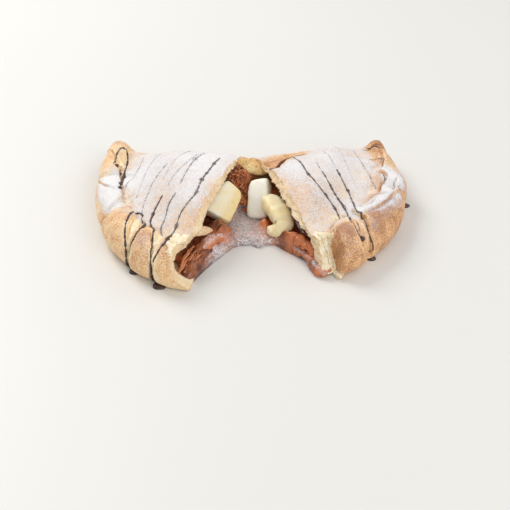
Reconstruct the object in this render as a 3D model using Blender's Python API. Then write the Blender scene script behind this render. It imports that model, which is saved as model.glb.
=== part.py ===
"""A sweet calzone, cut across the middle and opened like a book.

The baked half-moon of dough stands on its flat base.  Its straight, folded
side is at the back and its thick crimped rim runs round the front.  One cut
from front to back parts it into two halves, which have swung outwards about
the back end of the cut, so that a wedge-shaped notch lies between them.
Chocolate fills both halves, shows in their open pockets and has run out into
a low pool in the notch.  Three pieces of banana stand in it.

Each half is drawn in its own plan: u runs along the fold from the cut to the
ear, v runs along the cut from the fold to the rim, and z is up.  The rim's
outline in that plan is a quarter of an ellipse.  Metres, +Z up, origin at the
middle of the base.
"""

from dataclasses import dataclass
from math import atan2, cos, exp, hypot, pi, radians, sin, sqrt

import bmesh
import bpy
from mathutils import Euler, Matrix, Vector

# Driving dimensions, in metres.
HINGE = (-0.00355, 0.05295)       # back end of the cut, where the halves meet
DOME_HEIGHT = 0.0365             # top of the dome at the cut
EDGE_HEIGHT = 0.0095             # height of the outermost line of fold and rim
FOLD_ROUND = 0.048               # how far the fold side takes to reach the top, at the cut
RIM_HEIGHT = 0.0262              # crest of the crimped rim at the cut
RIM_WIDTH = 0.0225               # width of the crimped roll at the cut
EAR_RIM_WIDTH = 0.0150           # width of the roll near the ears
VALLEY_DROP = 0.0028             # how far the groove lies below the crest
FOOT_ROUND = 0.0080              # rounding of the lower edge
EAR_LIFT = 0.0045                # how far the ears curl up off the plate
EAR_LIFT_START = 0.82            # share of the fold side at which an ear starts to curl
TUCK_DEPTH = 0.0024              # depth of the pinched tucks in the rim
PILLOW_CROWN = 0.0012            # swell of the rim between two tucks

PEEL_STEP = 0.018                # stretch of rim over which a peeled place ends
PEEL_SLOPE = 1.72                # steepness of the bare crumb where the rim is peeled
PEEL_FOOT = 0.0030               # thickness of the bottom crust left at a peeled place

DOUGH = 0.0050                   # thickness of the upper dough
BASE_DOUGH = 0.0045              # thickness of the bottom dough
POCKET_BACK = 0.0060             # from the fold to the pocket
POCKET_DEPTH = 0.0740            # how far the filling runs towards the ears
FILLING_GAP = 0.0006             # clearance between filling and dough
FILLING_SHARE = 0.86             # how much of the pocket's height the filling may take
POOL_LEVEL = 0.0036              # height of the pool between the halves
POOL_BOW = 0.0330                # how far the pool's front edge curves in
BANANA_GAP = 0.0005              # clearance round each piece of banana


@dataclass(frozen=True)
class Tuck:
    """One pinched tuck of the rim: where it starts at the foot and ends on top.

    foot, top -- place along the rim, 0 at the cut and 1 at the ear
    half_foot, half_top -- half its width there, in the same measure
    """

    foot: float
    top: float
    half_foot: float = 0.016
    half_top: float = 0.042


@dataclass(frozen=True)
class Dent:
    """A soft hollow in the upper surface: its middle, depth and two radii."""

    u: float
    v: float
    depth: float
    radius_u: float
    radius_v: float


@dataclass(frozen=True)
class Swell:
    """A stretch of rim whose outline stands out by a size, or draws in where it is negative."""

    place: float
    spread: float
    size: float


@dataclass(frozen=True)
class Half:
    """One half of the calzone, with its sizes in its own plan."""

    name: str
    side: int                    # -1 swings to the left, +1 to the right
    turn: float                  # how far it has swung out, in degrees
    offset: float                # shift of the cut face away from the hinge
    reach: float                 # fold side, from the cut to the ear's tip
    depth: float                 # cut, from the fold to the rim
    pocket_wall: float           # from the rim's outline to the pocket
    pocket_front: float          # how much further the pocket reaches at the cut
    peel_end: float              # place along the rim up to which its skin is torn off
    peel_depth: float            # how far the bare crumb stands back there
    tongue_start: float          # place from which a tongue of bottom crust is left
    ear_dome: float              # top of the dome near the ear
    ear_rim: float               # crest of the rim near the ear
    ear_fold: float              # how far the fold side takes to reach the top near the ear
    swells: tuple[Swell, ...]
    tucks: tuple[Tuck, ...]
    dents: tuple[Dent, ...]


LEFT = Half(
    name="crust_left", side=-1, turn=15.0, offset=0.0004, reach=0.1000, depth=0.1420,
    pocket_wall=0.0225, pocket_front=0.0130, peel_end=0.0, peel_depth=0.0, tongue_start=0.0,
    ear_dome=0.0235, ear_rim=0.0185, ear_fold=FOLD_ROUND, swells=(),
    tucks=(
        Tuck(foot=0.150, top=0.175, half_top=0.045),
        Tuck(foot=0.275, top=0.370, half_top=0.050),
        Tuck(foot=0.500, top=0.545),
        Tuck(foot=0.760, top=0.740),
    ),
    dents=(Dent(0.0850, 0.0260, 0.0030, 0.0100, 0.0080),),
)
RIGHT = Half(
    name="crust_right", side=1, turn=17.8, offset=0.0004, reach=0.1035, depth=0.1350,
    pocket_wall=0.0205, pocket_front=0.0, peel_end=0.128, peel_depth=0.0085, tongue_start=0.080,
    ear_dome=0.0250, ear_rim=0.0203, ear_fold=0.011,
    swells=(Swell(place=0.62, spread=0.18, size=0.0034), Swell(place=0.90, spread=0.08, size=-0.0045)),
    tucks=(
        Tuck(foot=0.285, top=0.340, half_foot=0.018, half_top=0.034),
        Tuck(foot=0.640, top=0.580),
        Tuck(foot=0.800, top=0.790),
    ),
    dents=(Dent(0.0090, 0.0200, 0.0065, 0.0090, 0.0075),),
)


@dataclass(frozen=True)
class Mound:
    """A rise of the chocolate's surface, round in plan."""

    x: float
    y: float
    rise: float
    radius: float


MOUNDS = (
    Mound(-0.0085, 0.0235, 0.0225, 0.0105),   # clotted chocolate at the back
    Mound(-0.0250, -0.0325, 0.0095, 0.0095),  # smooth slope under the left dome
    Mound(-0.0325, -0.0515, 0.0130, 0.0085),  # lump by the left rim
    Mound(-0.0400, -0.0680, 0.0080, 0.0080),  # strings over the left rim's end
    Mound(0.0090, -0.0195, 0.0085, 0.0065),   # dollop beside the banana slice
    Mound(0.0320, -0.0495, 0.0130, 0.0090),   # glossy mass in the right pocket
)


@dataclass(frozen=True)
class Banana:
    """A piece of banana: a rounded block."""

    name: str
    place: tuple[float, float, float]
    half_size: tuple[float, float, float]
    tilt: tuple[float, float, float]     # turns about x, y and z, in degrees
    squareness: float                    # 0 is an ellipsoid, 1 a block


BANANAS = (
    Banana("banana_left", (-0.0198, -0.0063, 0.0165), (0.0070, 0.0140, 0.0095),
           (12.0, -14.0, -15.0), 0.55),
    Banana("banana_right", (0.0086, 0.0077, 0.0175), (0.0075, 0.0110, 0.0110),
           (0.0, 8.0, 22.0), 0.60),
    Banana("banana_slice", (0.0186, -0.0253, 0.0165), (0.0065, 0.0115, 0.0085),
           (-20.0, -16.0, 28.0), 0.35),
)


def smoothstep(value, low, high):
    """Rise from 0 at low to 1 at high without a corner."""
    t = min(1.0, max(0.0, (value - low) / (high - low)))
    return t * t * (3.0 - 2.0 * t)


def quarter_round(value):
    """Rise steeply from 0 at 0 and level off at 1 at 1, as a quarter circle does."""
    t = min(1.0, max(0.0, value))
    return sqrt(1.0 - (1.0 - t) ** 2)


def blend(start, end, share):
    """Mix two numbers."""
    return start + (end - start) * share


def outline_place(half, u, v):
    """Return the place along the rim, 0 to 1, and the distance in from its outline."""
    ratio = hypot(u / half.reach, v / half.depth)
    if ratio < 1e-6:
        return 0.0, half.reach
    slope = hypot(u / half.reach ** 2, v / half.depth ** 2) / ratio
    return atan2(u / half.reach, v / half.depth) / (pi / 2), (1.0 - ratio) / slope


def rim_width(place):
    """Width of the crimped roll at a place along the rim."""
    return blend(RIM_WIDTH, EAR_RIM_WIDTH, smoothstep(place, 0.55, 0.95))


def tuck_share(half, place, share):
    """How deep the nearest tuck is, 0 to 1; share runs from the foot to the groove."""
    deepest = 0.0
    for tuck in half.tucks:
        middle = blend(tuck.foot, tuck.top, share)
        half_width = blend(tuck.half_foot, tuck.half_top, share)
        away = abs(place - middle) / half_width
        deepest = max(deepest, 1.0 - smoothstep(away, 0.45, 1.0))
    return deepest


def pillow_share(half, place):
    """Swell of the rim between its tucks: 0 at a tuck and 1 midway."""
    stops = [half.peel_end, *(tuck.foot for tuck in half.tucks), 0.95]
    for start, end in zip(stops, stops[1:]):
        if start <= place < end:
            return sin(pi * (place - start) / (end - start))
    return 0.0


def peel_share(half, place):
    """How bare the rim is at a place: 1 where its skin is torn off."""
    if half.peel_end == 0.0:
        return 0.0
    return 1.0 - smoothstep(place, half.peel_end, half.peel_end + PEEL_STEP)


def foot_inset(half, place):
    """How far tucks, pillows, swells and a peeled end pull the rim's outline in, in metres."""
    inset = TUCK_DEPTH * tuck_share(half, place, 0.0) - PILLOW_CROWN * pillow_share(half, place)
    for swell in half.swells:
        inset -= swell.size * exp(-((place - swell.place) / swell.spread) ** 2)
    if half.peel_end > 0.0:
        bare = 1.0 - smoothstep(place, half.tongue_start, half.tongue_start + PEEL_STEP)
        inset = blend(inset, half.peel_depth, bare)
    return inset


def edge_height(half, place):
    """Height of the rim's outermost line."""
    return blend(EDGE_HEIGHT, PEEL_FOOT, peel_share(half, place))


def ear_lift(half, u):
    """How far the ear has curled up."""
    return EAR_LIFT * smoothstep(u, EAR_LIFT_START * half.reach, half.reach)


def dent_depth(half, u, v):
    """How deep the hollows of the upper surface are at a point."""
    total = 0.0
    for dent in half.dents:
        away = hypot((u - dent.u) / dent.radius_u, (v - dent.v) / dent.radius_v)
        total += dent.depth * exp(-away * away)
    return total


def top_height(half, u, v):
    """Height of the outer upper surface above the plate."""
    place, inward = outline_place(half, u, v)
    width = rim_width(place)
    edge = edge_height(half, place)
    bare = peel_share(half, place)
    bare_height = edge + PEEL_SLOPE * max(0.0, inward - half.peel_depth)
    inward = max(0.0, inward - foot_inset(half, place) * (1.0 - min(1.0, inward / width)))
    crest = blend(RIM_HEIGHT, half.ear_rim, smoothstep(place, 0.15, 0.9))
    groove = crest - VALLEY_DROP
    dome = blend(DOME_HEIGHT, half.ear_dome, smoothstep(u, 0.15 * half.reach, 0.92 * half.reach))
    across = inward / width
    if across < 1.0:
        height = blend(edge, crest, quarter_round(across / 0.55))
        height -= VALLEY_DROP * smoothstep(across, 0.60, 1.0)
        height -= TUCK_DEPTH * tuck_share(half, place, across) * smoothstep(across, 0.0, 0.4)
        height += PILLOW_CROWN * pillow_share(half, place) * sin(pi * across)
    else:
        fade = 1.0 - smoothstep(inward - width, 0.0, 0.008)
        height = blend(groove, dome, smoothstep(inward - width, 0.0, 0.036))
        height -= TUCK_DEPTH * tuck_share(half, place, 1.0) * fade
    local_depth = half.depth * sqrt(max(0.0, 1.0 - (u / half.reach) ** 2))
    fold_round = blend(FOLD_ROUND, half.ear_fold, smoothstep(u, 0.35 * half.reach, 0.75 * half.reach))
    fold_round = min(fold_round, max(0.010, 0.55 * local_depth))
    fold_round = blend(min(0.014, fold_round), fold_round, smoothstep(across, 0.3, 1.4))
    height = blend(EDGE_HEIGHT, height, quarter_round(v / fold_round))
    height = blend(height, min(height, bare_height), bare)
    return height - dent_depth(half, u, v) + ear_lift(half, u)


def bottom_height(half, u, v):
    """Height of the outer lower surface: flat, with rounded edges."""
    place, inward = outline_place(half, u, v)
    inward = max(0.0, inward - foot_inset(half, place))
    rim_side = edge_height(half, place) * (1.0 - quarter_round(inward / FOOT_ROUND))
    fold_side = EDGE_HEIGHT * (1.0 - quarter_round(v / FOOT_ROUND))
    return max(rim_side, fold_side) + ear_lift(half, u)


def half_point(half, u, v, z):
    """Return the point of a half's plan in the part's own frame."""
    swing = radians(half.turn)
    outward = u + half.offset
    x = half.side * (outward * cos(swing) + v * sin(swing))
    y = outward * sin(swing) - v * cos(swing)
    return Vector((HINGE[0] + x, HINGE[1] + y, z))


def pocket_end(half, u):
    """How far from the fold the pocket reaches at u."""
    ratio = min(1.0, u / (half.reach - half.pocket_wall))
    end = (half.depth - half.pocket_wall) * sqrt(1.0 - ratio ** 2)
    return end + half.pocket_front * (1.0 - smoothstep(u, 0.0, 0.018))


def pocket_ceiling(half, u, v):
    """Height of the pocket's ceiling."""
    upper = top_height(half, u, v) - DOUGH
    back = quarter_round((v - POCKET_BACK) / 0.012)
    front = quarter_round((pocket_end(half, u) - v) / 0.010)
    inner = quarter_round((POCKET_DEPTH - u) / 0.015)
    return BASE_DOUGH + max(0.0, upper - BASE_DOUGH) * back * front * inner


def add_ring(mesh, points):
    """Add a closed ring of vertices."""
    return [mesh.verts.new(point) for point in points]


def join_rings(mesh, first, second):
    """Join two rings of the same number of vertices with quads."""
    count = len(first)
    for i in range(count):
        j = (i + 1) % count
        mesh.faces.new((first[i], first[j], second[j], second[i]))


def ring_angles(half, ring):
    """Return the turn of each vertex of a ring about the pocket's middle, never falling."""
    cut = half_point(half, 0.0, 1.0, 0.0) - half_point(half, 0.0, 0.0, 0.0)
    middle = half_point(half, 0.0, 0.45 * half.depth, 0.35 * DOME_HEIGHT)
    angles = [-pi / 2]
    for vertex in ring + ring[:1]:
        away = vertex.co - middle
        angle = atan2(away.z, away.dot(cut))
        if angle < angles[-1] - pi:
            angle += 2.0 * pi
        angles.append(max(angle, angles[-1]))
    return angles[1:]


def zip_rings(mesh, half, outer, inner):
    """Fill the flat band between two rings of different numbers of vertices."""
    outer_angles, inner_angles = ring_angles(half, outer), ring_angles(half, inner)
    i = j = 0
    while i < len(outer) or j < len(inner):
        a, b = outer[i % len(outer)], inner[j % len(inner)]
        if j == len(inner) or (i < len(outer) and outer_angles[i + 1] <= inner_angles[j + 1]):
            i += 1
            mesh.faces.new((a, outer[i % len(outer)], b))
        else:
            j += 1
            mesh.faces.new((a, inner[j % len(inner)], b))


def rim_stations(half):
    """Places along the rim for the sections: four on each tuck, more on long pillows."""
    places = [0.0, 0.020, 0.045]
    if half.peel_end > 0.0:
        places += [half.tongue_start - 0.012, half.tongue_start + 0.004, half.tongue_start + 0.016]
        places += [half.peel_end - 0.006, half.peel_end + 0.004, half.peel_end + 0.014]
    for tuck in half.tucks:
        middle = (tuck.foot + tuck.top) / 2
        spread = (tuck.half_foot + tuck.half_top) / 2
        last = places[-1]
        steps = max(1, round((middle - spread - last) / STATION_STEP))
        places += [blend(last, middle - spread, (i + 1) / steps) for i in range(steps)]
        places += [middle - spread * 0.35, middle + spread * 0.35, middle + spread]
    last = places[-1]
    places += [blend(last, EAR_END, share) for share in (0.3, 0.55, 0.78, 0.92, 1.0)]
    return places


def section_line(half, place):
    """Return a section's rim point, its direction towards the fold and its length."""
    angle = place * pi / 2
    normal = Vector((half.depth * sin(angle), half.reach * cos(angle))).normalized()
    rim = Vector((half.reach * sin(angle), half.depth * cos(angle)))
    rim -= normal * foot_inset(half, place)
    fold = Vector(((half.reach - 0.0015) * place ** 1.5, 0.0))
    line = fold - rim
    squint = max(0.5, -line.normalized().dot(normal))
    return rim, line.normalized(), line.length, squint


STATION_STEP = 0.036             # usual spacing of the sections along a pillow
EAR_END = 0.985                  # where the last section closes the ear
ROLL_SHARES = (0.03, 0.12, 0.26, 0.44, 0.62, 0.82, 1.0)
DOME_SHARES = (0.14, 0.30, 0.48, 0.66, 0.80, 0.90, 0.965, 1.0)
BASE_SHARES = (0.10, 0.35, 1.0)


def outer_section(half, place):
    """Return one closed section of the dough's outer surface, from rim to rim."""
    rim, line, length, squint = section_line(half, place)
    roll = min(rim_width(place) / squint, 0.52 * length)
    distances = [roll * share for share in ROLL_SHARES]
    distances += [blend(roll, length, share) for share in DOME_SHARES]
    edge = edge_height(half, place)
    section = [half_point(half, rim.x, rim.y, edge + ear_lift(half, rim.x))]
    for distance in distances:
        spot = rim + line * distance
        height = top_height(half, spot.x, max(0.0, spot.y))
        section.append(half_point(half, spot.x, max(0.0, spot.y), height))
    foot = min(FOOT_ROUND, 0.40 * length)
    under = [length - foot * share for share in BASE_SHARES]
    under += [blend(length - foot, foot / squint, share) for share in (0.35, 0.7)]
    under += [foot / squint * share for share in reversed(BASE_SHARES)]
    for distance in under:
        spot = rim + line * distance
        height = bottom_height(half, spot.x, max(0.0, spot.y))
        section.append(half_point(half, spot.x, max(0.0, spot.y), height))
    return section


POCKET_STATIONS = (0.0, 0.055, 0.135, 0.24, 0.36, 0.50, 0.64, 0.77, 0.87, 0.94, 0.985)
POCKET_ROWS = (0.0, 0.022, 0.06, 0.12, 0.20, 0.30, 0.42, 0.54, 0.66, 0.77, 0.86, 0.93, 0.978, 1.0)
FLOOR_POINTS = 5


def pocket_section(half, u):
    """Return one closed section of the pocket: along the ceiling, back on the floor."""
    end = pocket_end(half, u)
    section = []
    for row in reversed(POCKET_ROWS):
        v = blend(POCKET_BACK, end, row)
        section.append(half_point(half, u, v, pocket_ceiling(half, u, v)))
    for i in range(1, FLOOR_POINTS):
        v = blend(POCKET_BACK, end, i / FLOOR_POINTS)
        section.append(half_point(half, u, v, BASE_DOUGH))
    return section


def new_object(name, mesh, material):
    """Make an object of a bmesh: triangles, with faces turned out and shaded smooth."""
    bmesh.ops.triangulate(mesh, faces=mesh.faces)
    bmesh.ops.recalc_face_normals(mesh, faces=mesh.faces)
    data = bpy.data.meshes.new(name)
    mesh.to_mesh(data)
    mesh.free()
    data.shade_smooth()
    data.set_sharp_from_angle(angle=radians(50.0))
    data.materials.append(material)
    item = bpy.data.objects.new(name, data)
    bpy.context.scene.collection.objects.link(item)
    return item


def make_material(name, colour, roughness):
    """Return a plain Principled material."""
    material = bpy.data.materials.new(name)
    material.use_nodes = True
    shader = material.node_tree.nodes["Principled BSDF"]
    shader.inputs["Base Color"].default_value = (*colour, 1.0)
    shader.inputs["Roughness"].default_value = roughness
    shader.inputs["Metallic"].default_value = 0.0
    return material


def make_crust(half, material):
    """Build one half's dough: a domed shell with a crimped rim and an open pocket."""
    mesh = bmesh.new()
    rings = [add_ring(mesh, outer_section(half, place)) for place in rim_stations(half)]
    for first, second in zip(rings, rings[1:]):
        join_rings(mesh, first, second)
    mesh.faces.new(rings[-1])
    inner = [add_ring(mesh, pocket_section(half, POCKET_DEPTH * share)) for share in POCKET_STATIONS]
    for first, second in zip(inner, inner[1:]):
        join_rings(mesh, first, second)
    mesh.faces.new(inner[-1])
    zip_rings(mesh, half, rings[0], inner[0])
    return new_object(half.name, mesh, material)


def make_lip(half, material):
    """Build the curled lip of dough that stands at the back of the right half."""
    mesh = bmesh.new()
    rings = []
    sections = 7
    for i in range(sections):
        share = i / (sections - 1)
        v = blend(0.0075, 0.0365, share)
        reach = blend(0.0020, 0.0088, sin(pi * (0.12 + 0.80 * share)))
        root = top_height(half, 0.002, v) - 0.0034
        curl = 0.0030 * sin(pi * share)
        upper = [(0.0040, root + 0.0016), (0.0, root + 0.0026), (-0.5 * reach, root + 0.0024 + curl)]
        tip = [(-reach, root + 0.0006 + curl), (-reach, root - 0.0016 + curl)]
        lower = [(-0.5 * reach, root - 0.0012 + 0.6 * curl), (0.0, root - 0.0014), (0.0040, root - 0.0014)]
        rings.append(add_ring(mesh, [half_point(half, u, v, z) for u, z in upper + tip + lower]))
    for first, second in zip(rings, rings[1:]):
        join_rings(mesh, first, second)
    mesh.faces.new(rings[0])
    mesh.faces.new(rings[-1])
    return new_object("lip_tool", mesh, material)


def combine(body, tool, operation):
    """Apply a Boolean of tool to body and remove the tool."""
    modifier = body.modifiers.new(operation.lower(), "BOOLEAN")
    modifier.operation = operation
    modifier.solver = "EXACT"
    modifier.object = tool
    depsgraph = bpy.context.evaluated_depsgraph_get()
    data = bpy.data.meshes.new_from_object(body.evaluated_get(depsgraph))
    body.modifiers.clear()
    old = body.data
    body.data = data
    bpy.data.meshes.remove(old)
    bpy.data.objects.remove(tool)


def chocolate_height(x, y):
    """Height of the chocolate's surface in the open, above the plate."""
    height = POOL_LEVEL
    for mound in MOUNDS:
        away = hypot(x - mound.x, y - mound.y) / mound.radius
        height += mound.rise * exp(-away * away)
    return height


FILLING_ROWS = POCKET_ROWS[2:-1]
FILLING_STATIONS = POCKET_STATIONS[-3:0:-1]
FILLING_FLOOR = BASE_DOUGH + FILLING_GAP
POOL_COLUMNS = 8
STEP_OUT = 0.0006                # how far outside the cut face the filling steps down
POCKET_RISE = 0.0060             # how much higher the chocolate stands in the pockets
THINNEST = 0.0012                # least thickness of the filling
FAR_ROW = 0.950                  # how near the front wall the filling comes far in


def filling_level(half, u, v, x, y):
    """Height of the filling where it lies in a pocket: open at the cut, full inside."""
    room = pocket_ceiling(half, u, v) - FILLING_FLOOR
    limit = FILLING_FLOOR + FILLING_SHARE * room - FILLING_GAP
    level = blend(chocolate_height(x, y) + POCKET_RISE, limit, smoothstep(u, 0.008, 0.030))
    return max(FILLING_FLOOR + THINNEST, min(level, limit))


def filling_span(half, u, row):
    """Return v of a row of the filling at u; far in, the front row keeps off the wall."""
    row = min(row, blend(1.0, FAR_ROW, smoothstep(u, 0.030, 0.060)))
    return blend(POCKET_BACK, pocket_end(half, u), row)


def pocket_column(half, u):
    """Return the upper and lower points of one column of the filling in a pocket."""
    upper, lower = [], []
    for row in FILLING_ROWS:
        v = filling_span(half, u, row)
        spot = half_point(half, u, v, FILLING_FLOOR)
        lower.append(spot)
        upper.append(Vector((spot.x, spot.y, filling_level(half, u, v, spot.x, spot.y))))
    return upper, lower


def step_points(half, row):
    """Return the points where the filling passes the cut face: top, sill and plate."""
    v = filling_span(half, 0.0, row)
    foot = half_point(half, -STEP_OUT, v, 0.0)
    level = filling_level(half, 0.0, v, foot.x, foot.y)
    return Vector((foot.x, foot.y, level)), Vector((foot.x, foot.y, FILLING_FLOOR)), foot


def pool_column(share):
    """Return the upper and lower points of one column of the pool."""
    upper, lower = [], []
    for row in FILLING_ROWS:
        left_top, _, left_foot = step_points(LEFT, row)
        right_top, _, right_foot = step_points(RIGHT, row)
        foot = left_foot.lerp(right_foot, share)
        foot.y += POOL_BOW * row ** 1.6 * 4.0 * share * (1.0 - share)
        near = min(share, 1.0 - share)
        side_top = left_top.z if share < 0.5 else right_top.z
        open_top = chocolate_height(foot.x, foot.y)
        edge = quarter_round((1.0 - row) / 0.09 + 0.12)
        height = blend(side_top, open_top, smoothstep(near, 0.0, 0.30)) * edge
        upper.append(Vector((foot.x, foot.y, max(0.0010, height))))
        lower.append(foot)
    return upper, lower


def make_filling(material):
    """Build the chocolate: one solid through both pockets and the pool between."""
    columns = [pocket_column(LEFT, POCKET_DEPTH * share) for share in FILLING_STATIONS]
    left_step = [step_points(LEFT, row) for row in FILLING_ROWS]
    columns.append(([p[0] for p in left_step], [p[1] for p in left_step]))
    sill_left = len(columns) - 1
    columns += [pool_column((i + 1) / (POOL_COLUMNS + 1)) for i in range(POOL_COLUMNS)]
    right_step = [step_points(RIGHT, row) for row in FILLING_ROWS]
    columns.append(([p[0] for p in right_step], [p[1] for p in right_step]))
    sill_right = len(columns) - 1
    columns += [pocket_column(RIGHT, POCKET_DEPTH * share) for share in reversed(FILLING_STATIONS)]

    mesh = bmesh.new()
    uppers = [[mesh.verts.new(p) for p in upper] for upper, _ in columns]
    lowers = [[mesh.verts.new(p) for p in lower] for _, lower in columns]
    plates = {
        sill_left: [mesh.verts.new(p[2]) for p in left_step],
        sill_right: [mesh.verts.new(p[2]) for p in right_step],
    }

    def lower_line(index, beside):
        """Lower vertices of a column, as its neighbour on one side meets them."""
        in_pool = sill_left <= min(index, beside) and max(index, beside) <= sill_right
        return plates[index] if index in plates and in_pool else lowers[index]

    last_row = len(FILLING_ROWS) - 1
    for i in range(len(columns) - 1):
        low_a, low_b = lower_line(i, i + 1), lower_line(i + 1, i)
        for k in range(last_row):
            mesh.faces.new((uppers[i][k], uppers[i + 1][k], uppers[i + 1][k + 1], uppers[i][k + 1]))
            mesh.faces.new((low_a[k], low_a[k + 1], low_b[k + 1], low_b[k]))
        for k in (0, last_row):
            corners = [low_b[k], low_a[k], uppers[i][k], uppers[i + 1][k]]
            if i == sill_left:
                corners.insert(2, lowers[i][k])
            if i + 1 == sill_right:
                corners = corners[1:] + [lowers[i + 1][k], corners[0]]
            for b, c in zip(corners[1:], corners[2:]):
                mesh.faces.new((corners[0], b, c))
    for index, plate in plates.items():
        sill = lowers[index]
        for k in range(last_row):
            mesh.faces.new((sill[k], sill[k + 1], plate[k + 1], plate[k]))
    for index in (0, len(columns) - 1):
        for k in range(last_row):
            upper, lower = uppers[index], lowers[index]
            mesh.faces.new((upper[k], upper[k + 1], lower[k + 1], lower[k]))
    return new_object("chocolate_filling", mesh, material)


def banana_mesh(banana, swell):
    """Return a bmesh of a rounded block, in place, swollen by a clearance."""
    mesh = bmesh.new()
    bmesh.ops.create_icosphere(mesh, subdivisions=3, radius=1.0)
    half_size = Vector(banana.half_size)
    power = 1.0 / (1.0 + 1.6 * banana.squareness)
    for vertex in mesh.verts:
        normal = vertex.co.normalized()
        shape = Vector([abs(c) ** power * (1.0 if c >= 0.0 else -1.0) for c in normal])
        shape = shape.lerp(normal, 0.35)
        place = Vector([shape[i] * half_size[i] for i in range(3)])
        vertex.co = place + place.normalized() * swell
    turn = Euler([radians(angle) for angle in banana.tilt]).to_matrix().to_4x4()
    bmesh.ops.transform(mesh, matrix=Matrix.Translation(banana.place) @ turn, verts=mesh.verts)
    return mesh


def remove_everything():
    """Clear the scene."""
    for item in list(bpy.data.objects):
        bpy.data.objects.remove(item)


def main():
    """Build the calzone."""
    remove_everything()
    dough = make_material("baked_dough", (0.74, 0.50, 0.28), 0.75)
    chocolate = make_material("chocolate", (0.16, 0.045, 0.022), 0.30)
    flesh = make_material("banana_flesh", (0.86, 0.76, 0.48), 0.50)
    make_crust(LEFT, dough)
    right = make_crust(RIGHT, dough)
    combine(right, make_lip(RIGHT, dough), "UNION")
    filling = make_filling(chocolate)
    for banana in BANANAS:
        new_object(banana.name, banana_mesh(banana, 0.0), flesh)
        cutter = new_object(banana.name + "_tool", banana_mesh(banana, BANANA_GAP), flesh)
        combine(filling, cutter, "DIFFERENCE")


main()
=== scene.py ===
"""Looks of a sweet calzone, cut across the middle and opened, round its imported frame.

Each half is drawn in its own plan, as its solid is: u runs along the fold from
the cut to the ear, v runs along the cut from the fold to the rim, and z is up.
The dough of a half is one closed skin: the baked outside, the crumb of the cut
edge and the pocket inside.  Chocolate, banana, the lip of dough at the back,
drizzle, powdered sugar and crumb bits are laid into and onto it.  Metres.
"""

import logging
from dataclasses import dataclass, field
from enum import Enum
from typing import ClassVar
from math import cos, pi, radians, sin

import bmesh
import bpy
import numpy as np
from mathutils import Matrix, Vector
from mathutils.bvhtree import BVHTree


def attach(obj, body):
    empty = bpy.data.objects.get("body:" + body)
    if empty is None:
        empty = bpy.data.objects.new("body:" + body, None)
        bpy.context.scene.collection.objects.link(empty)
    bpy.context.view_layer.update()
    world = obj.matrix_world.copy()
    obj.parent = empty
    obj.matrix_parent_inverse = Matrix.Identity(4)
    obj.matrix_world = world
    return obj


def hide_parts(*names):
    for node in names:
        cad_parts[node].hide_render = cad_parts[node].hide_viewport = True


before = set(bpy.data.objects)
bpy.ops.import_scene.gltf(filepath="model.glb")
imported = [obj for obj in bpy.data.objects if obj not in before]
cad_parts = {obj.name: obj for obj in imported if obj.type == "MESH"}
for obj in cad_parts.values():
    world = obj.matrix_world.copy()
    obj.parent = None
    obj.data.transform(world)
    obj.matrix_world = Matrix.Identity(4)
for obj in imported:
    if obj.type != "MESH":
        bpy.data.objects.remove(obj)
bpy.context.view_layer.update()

logging.basicConfig(level=logging.INFO, format="%(name)s: %(message)s")
log = logging.getLogger("calzone")

Array = np.ndarray
Colour = tuple[float, float, float]
MM = 0.001
ROOT_BODY = "root"

# Driving dimensions of the dough, in metres, as the solids have them.
HINGE = (-0.00355, 0.05295)      # back end of the cut, where the halves meet
DOME_HEIGHT = 0.0365
EDGE_HEIGHT = 0.0095             # height of the outermost line of fold and rim
FOLD_ROUND = 0.048
RIM_HEIGHT = 0.0262
RIM_WIDTH = 0.0225
EAR_RIM_WIDTH = 0.0150
VALLEY_DROP = 0.0028
FOOT_ROUND = 0.0080
EAR_LIFT = 0.0045
EAR_LIFT_START = 0.82            # share of the fold side at which an ear starts to curl
TUCK_DEPTH = 0.0024
PILLOW_CROWN = 0.0012
PEEL_STEP = 0.018
PEEL_SLOPE = 1.72
PEEL_FOOT = 0.0030
DOUGH = 0.0050                   # thickness of the upper dough
BASE_DOUGH = 0.0045              # thickness of the bottom dough
POCKET_BACK = 0.0060
POCKET_DEPTH = 0.0740
POOL_LEVEL = 0.0036
EAR_END = 0.985                  # place where the skin closes at the ear


def smoothstep(value: Array, low: float, high: float) -> Array:
    """Rise from 0 at low to 1 at high without a corner."""
    t = np.clip((np.asarray(value, float) - low) / (high - low), 0.0, 1.0)
    return t * t * (3.0 - 2.0 * t)


def quarter_round(value: Array) -> Array:
    """Rise steeply from 0 at 0 and level off at 1 at 1, as a quarter circle does."""
    t = np.clip(value, 0.0, 1.0)
    return np.sqrt(1.0 - (1.0 - t) ** 2)


def blend(start: Array, end: Array, share: Array) -> Array:
    """Mix two numbers or arrays."""
    return start + (end - start) * share


def hill(x: Array, y: Array, middle: tuple[float, float], radii: tuple[float, float]) -> Array:
    """Return a soft round hill: 1 at its middle, falling to nothing outside its radii."""
    return np.exp(-((x - middle[0]) / radii[0]) ** 2 - ((y - middle[1]) / radii[1]) ** 2)


def hills(x: Array, y: Array, spots: tuple) -> Array:
    """Add up hills given in millimetres.

    Args:
        x, y: where the sum is wanted, in metres.
        spots: (x, y, radius in x, radius in y, height) of each hill; lengths in millimetres.

    Returns:
        The sum, in the unit of the heights.
    """
    total = np.zeros(np.broadcast(x, y).shape)
    for spot_x, spot_y, radius_x, radius_y, height in spots:
        total += height * hill(x, y, (spot_x * MM, spot_y * MM), (radius_x * MM, radius_y * MM))
    return total


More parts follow.
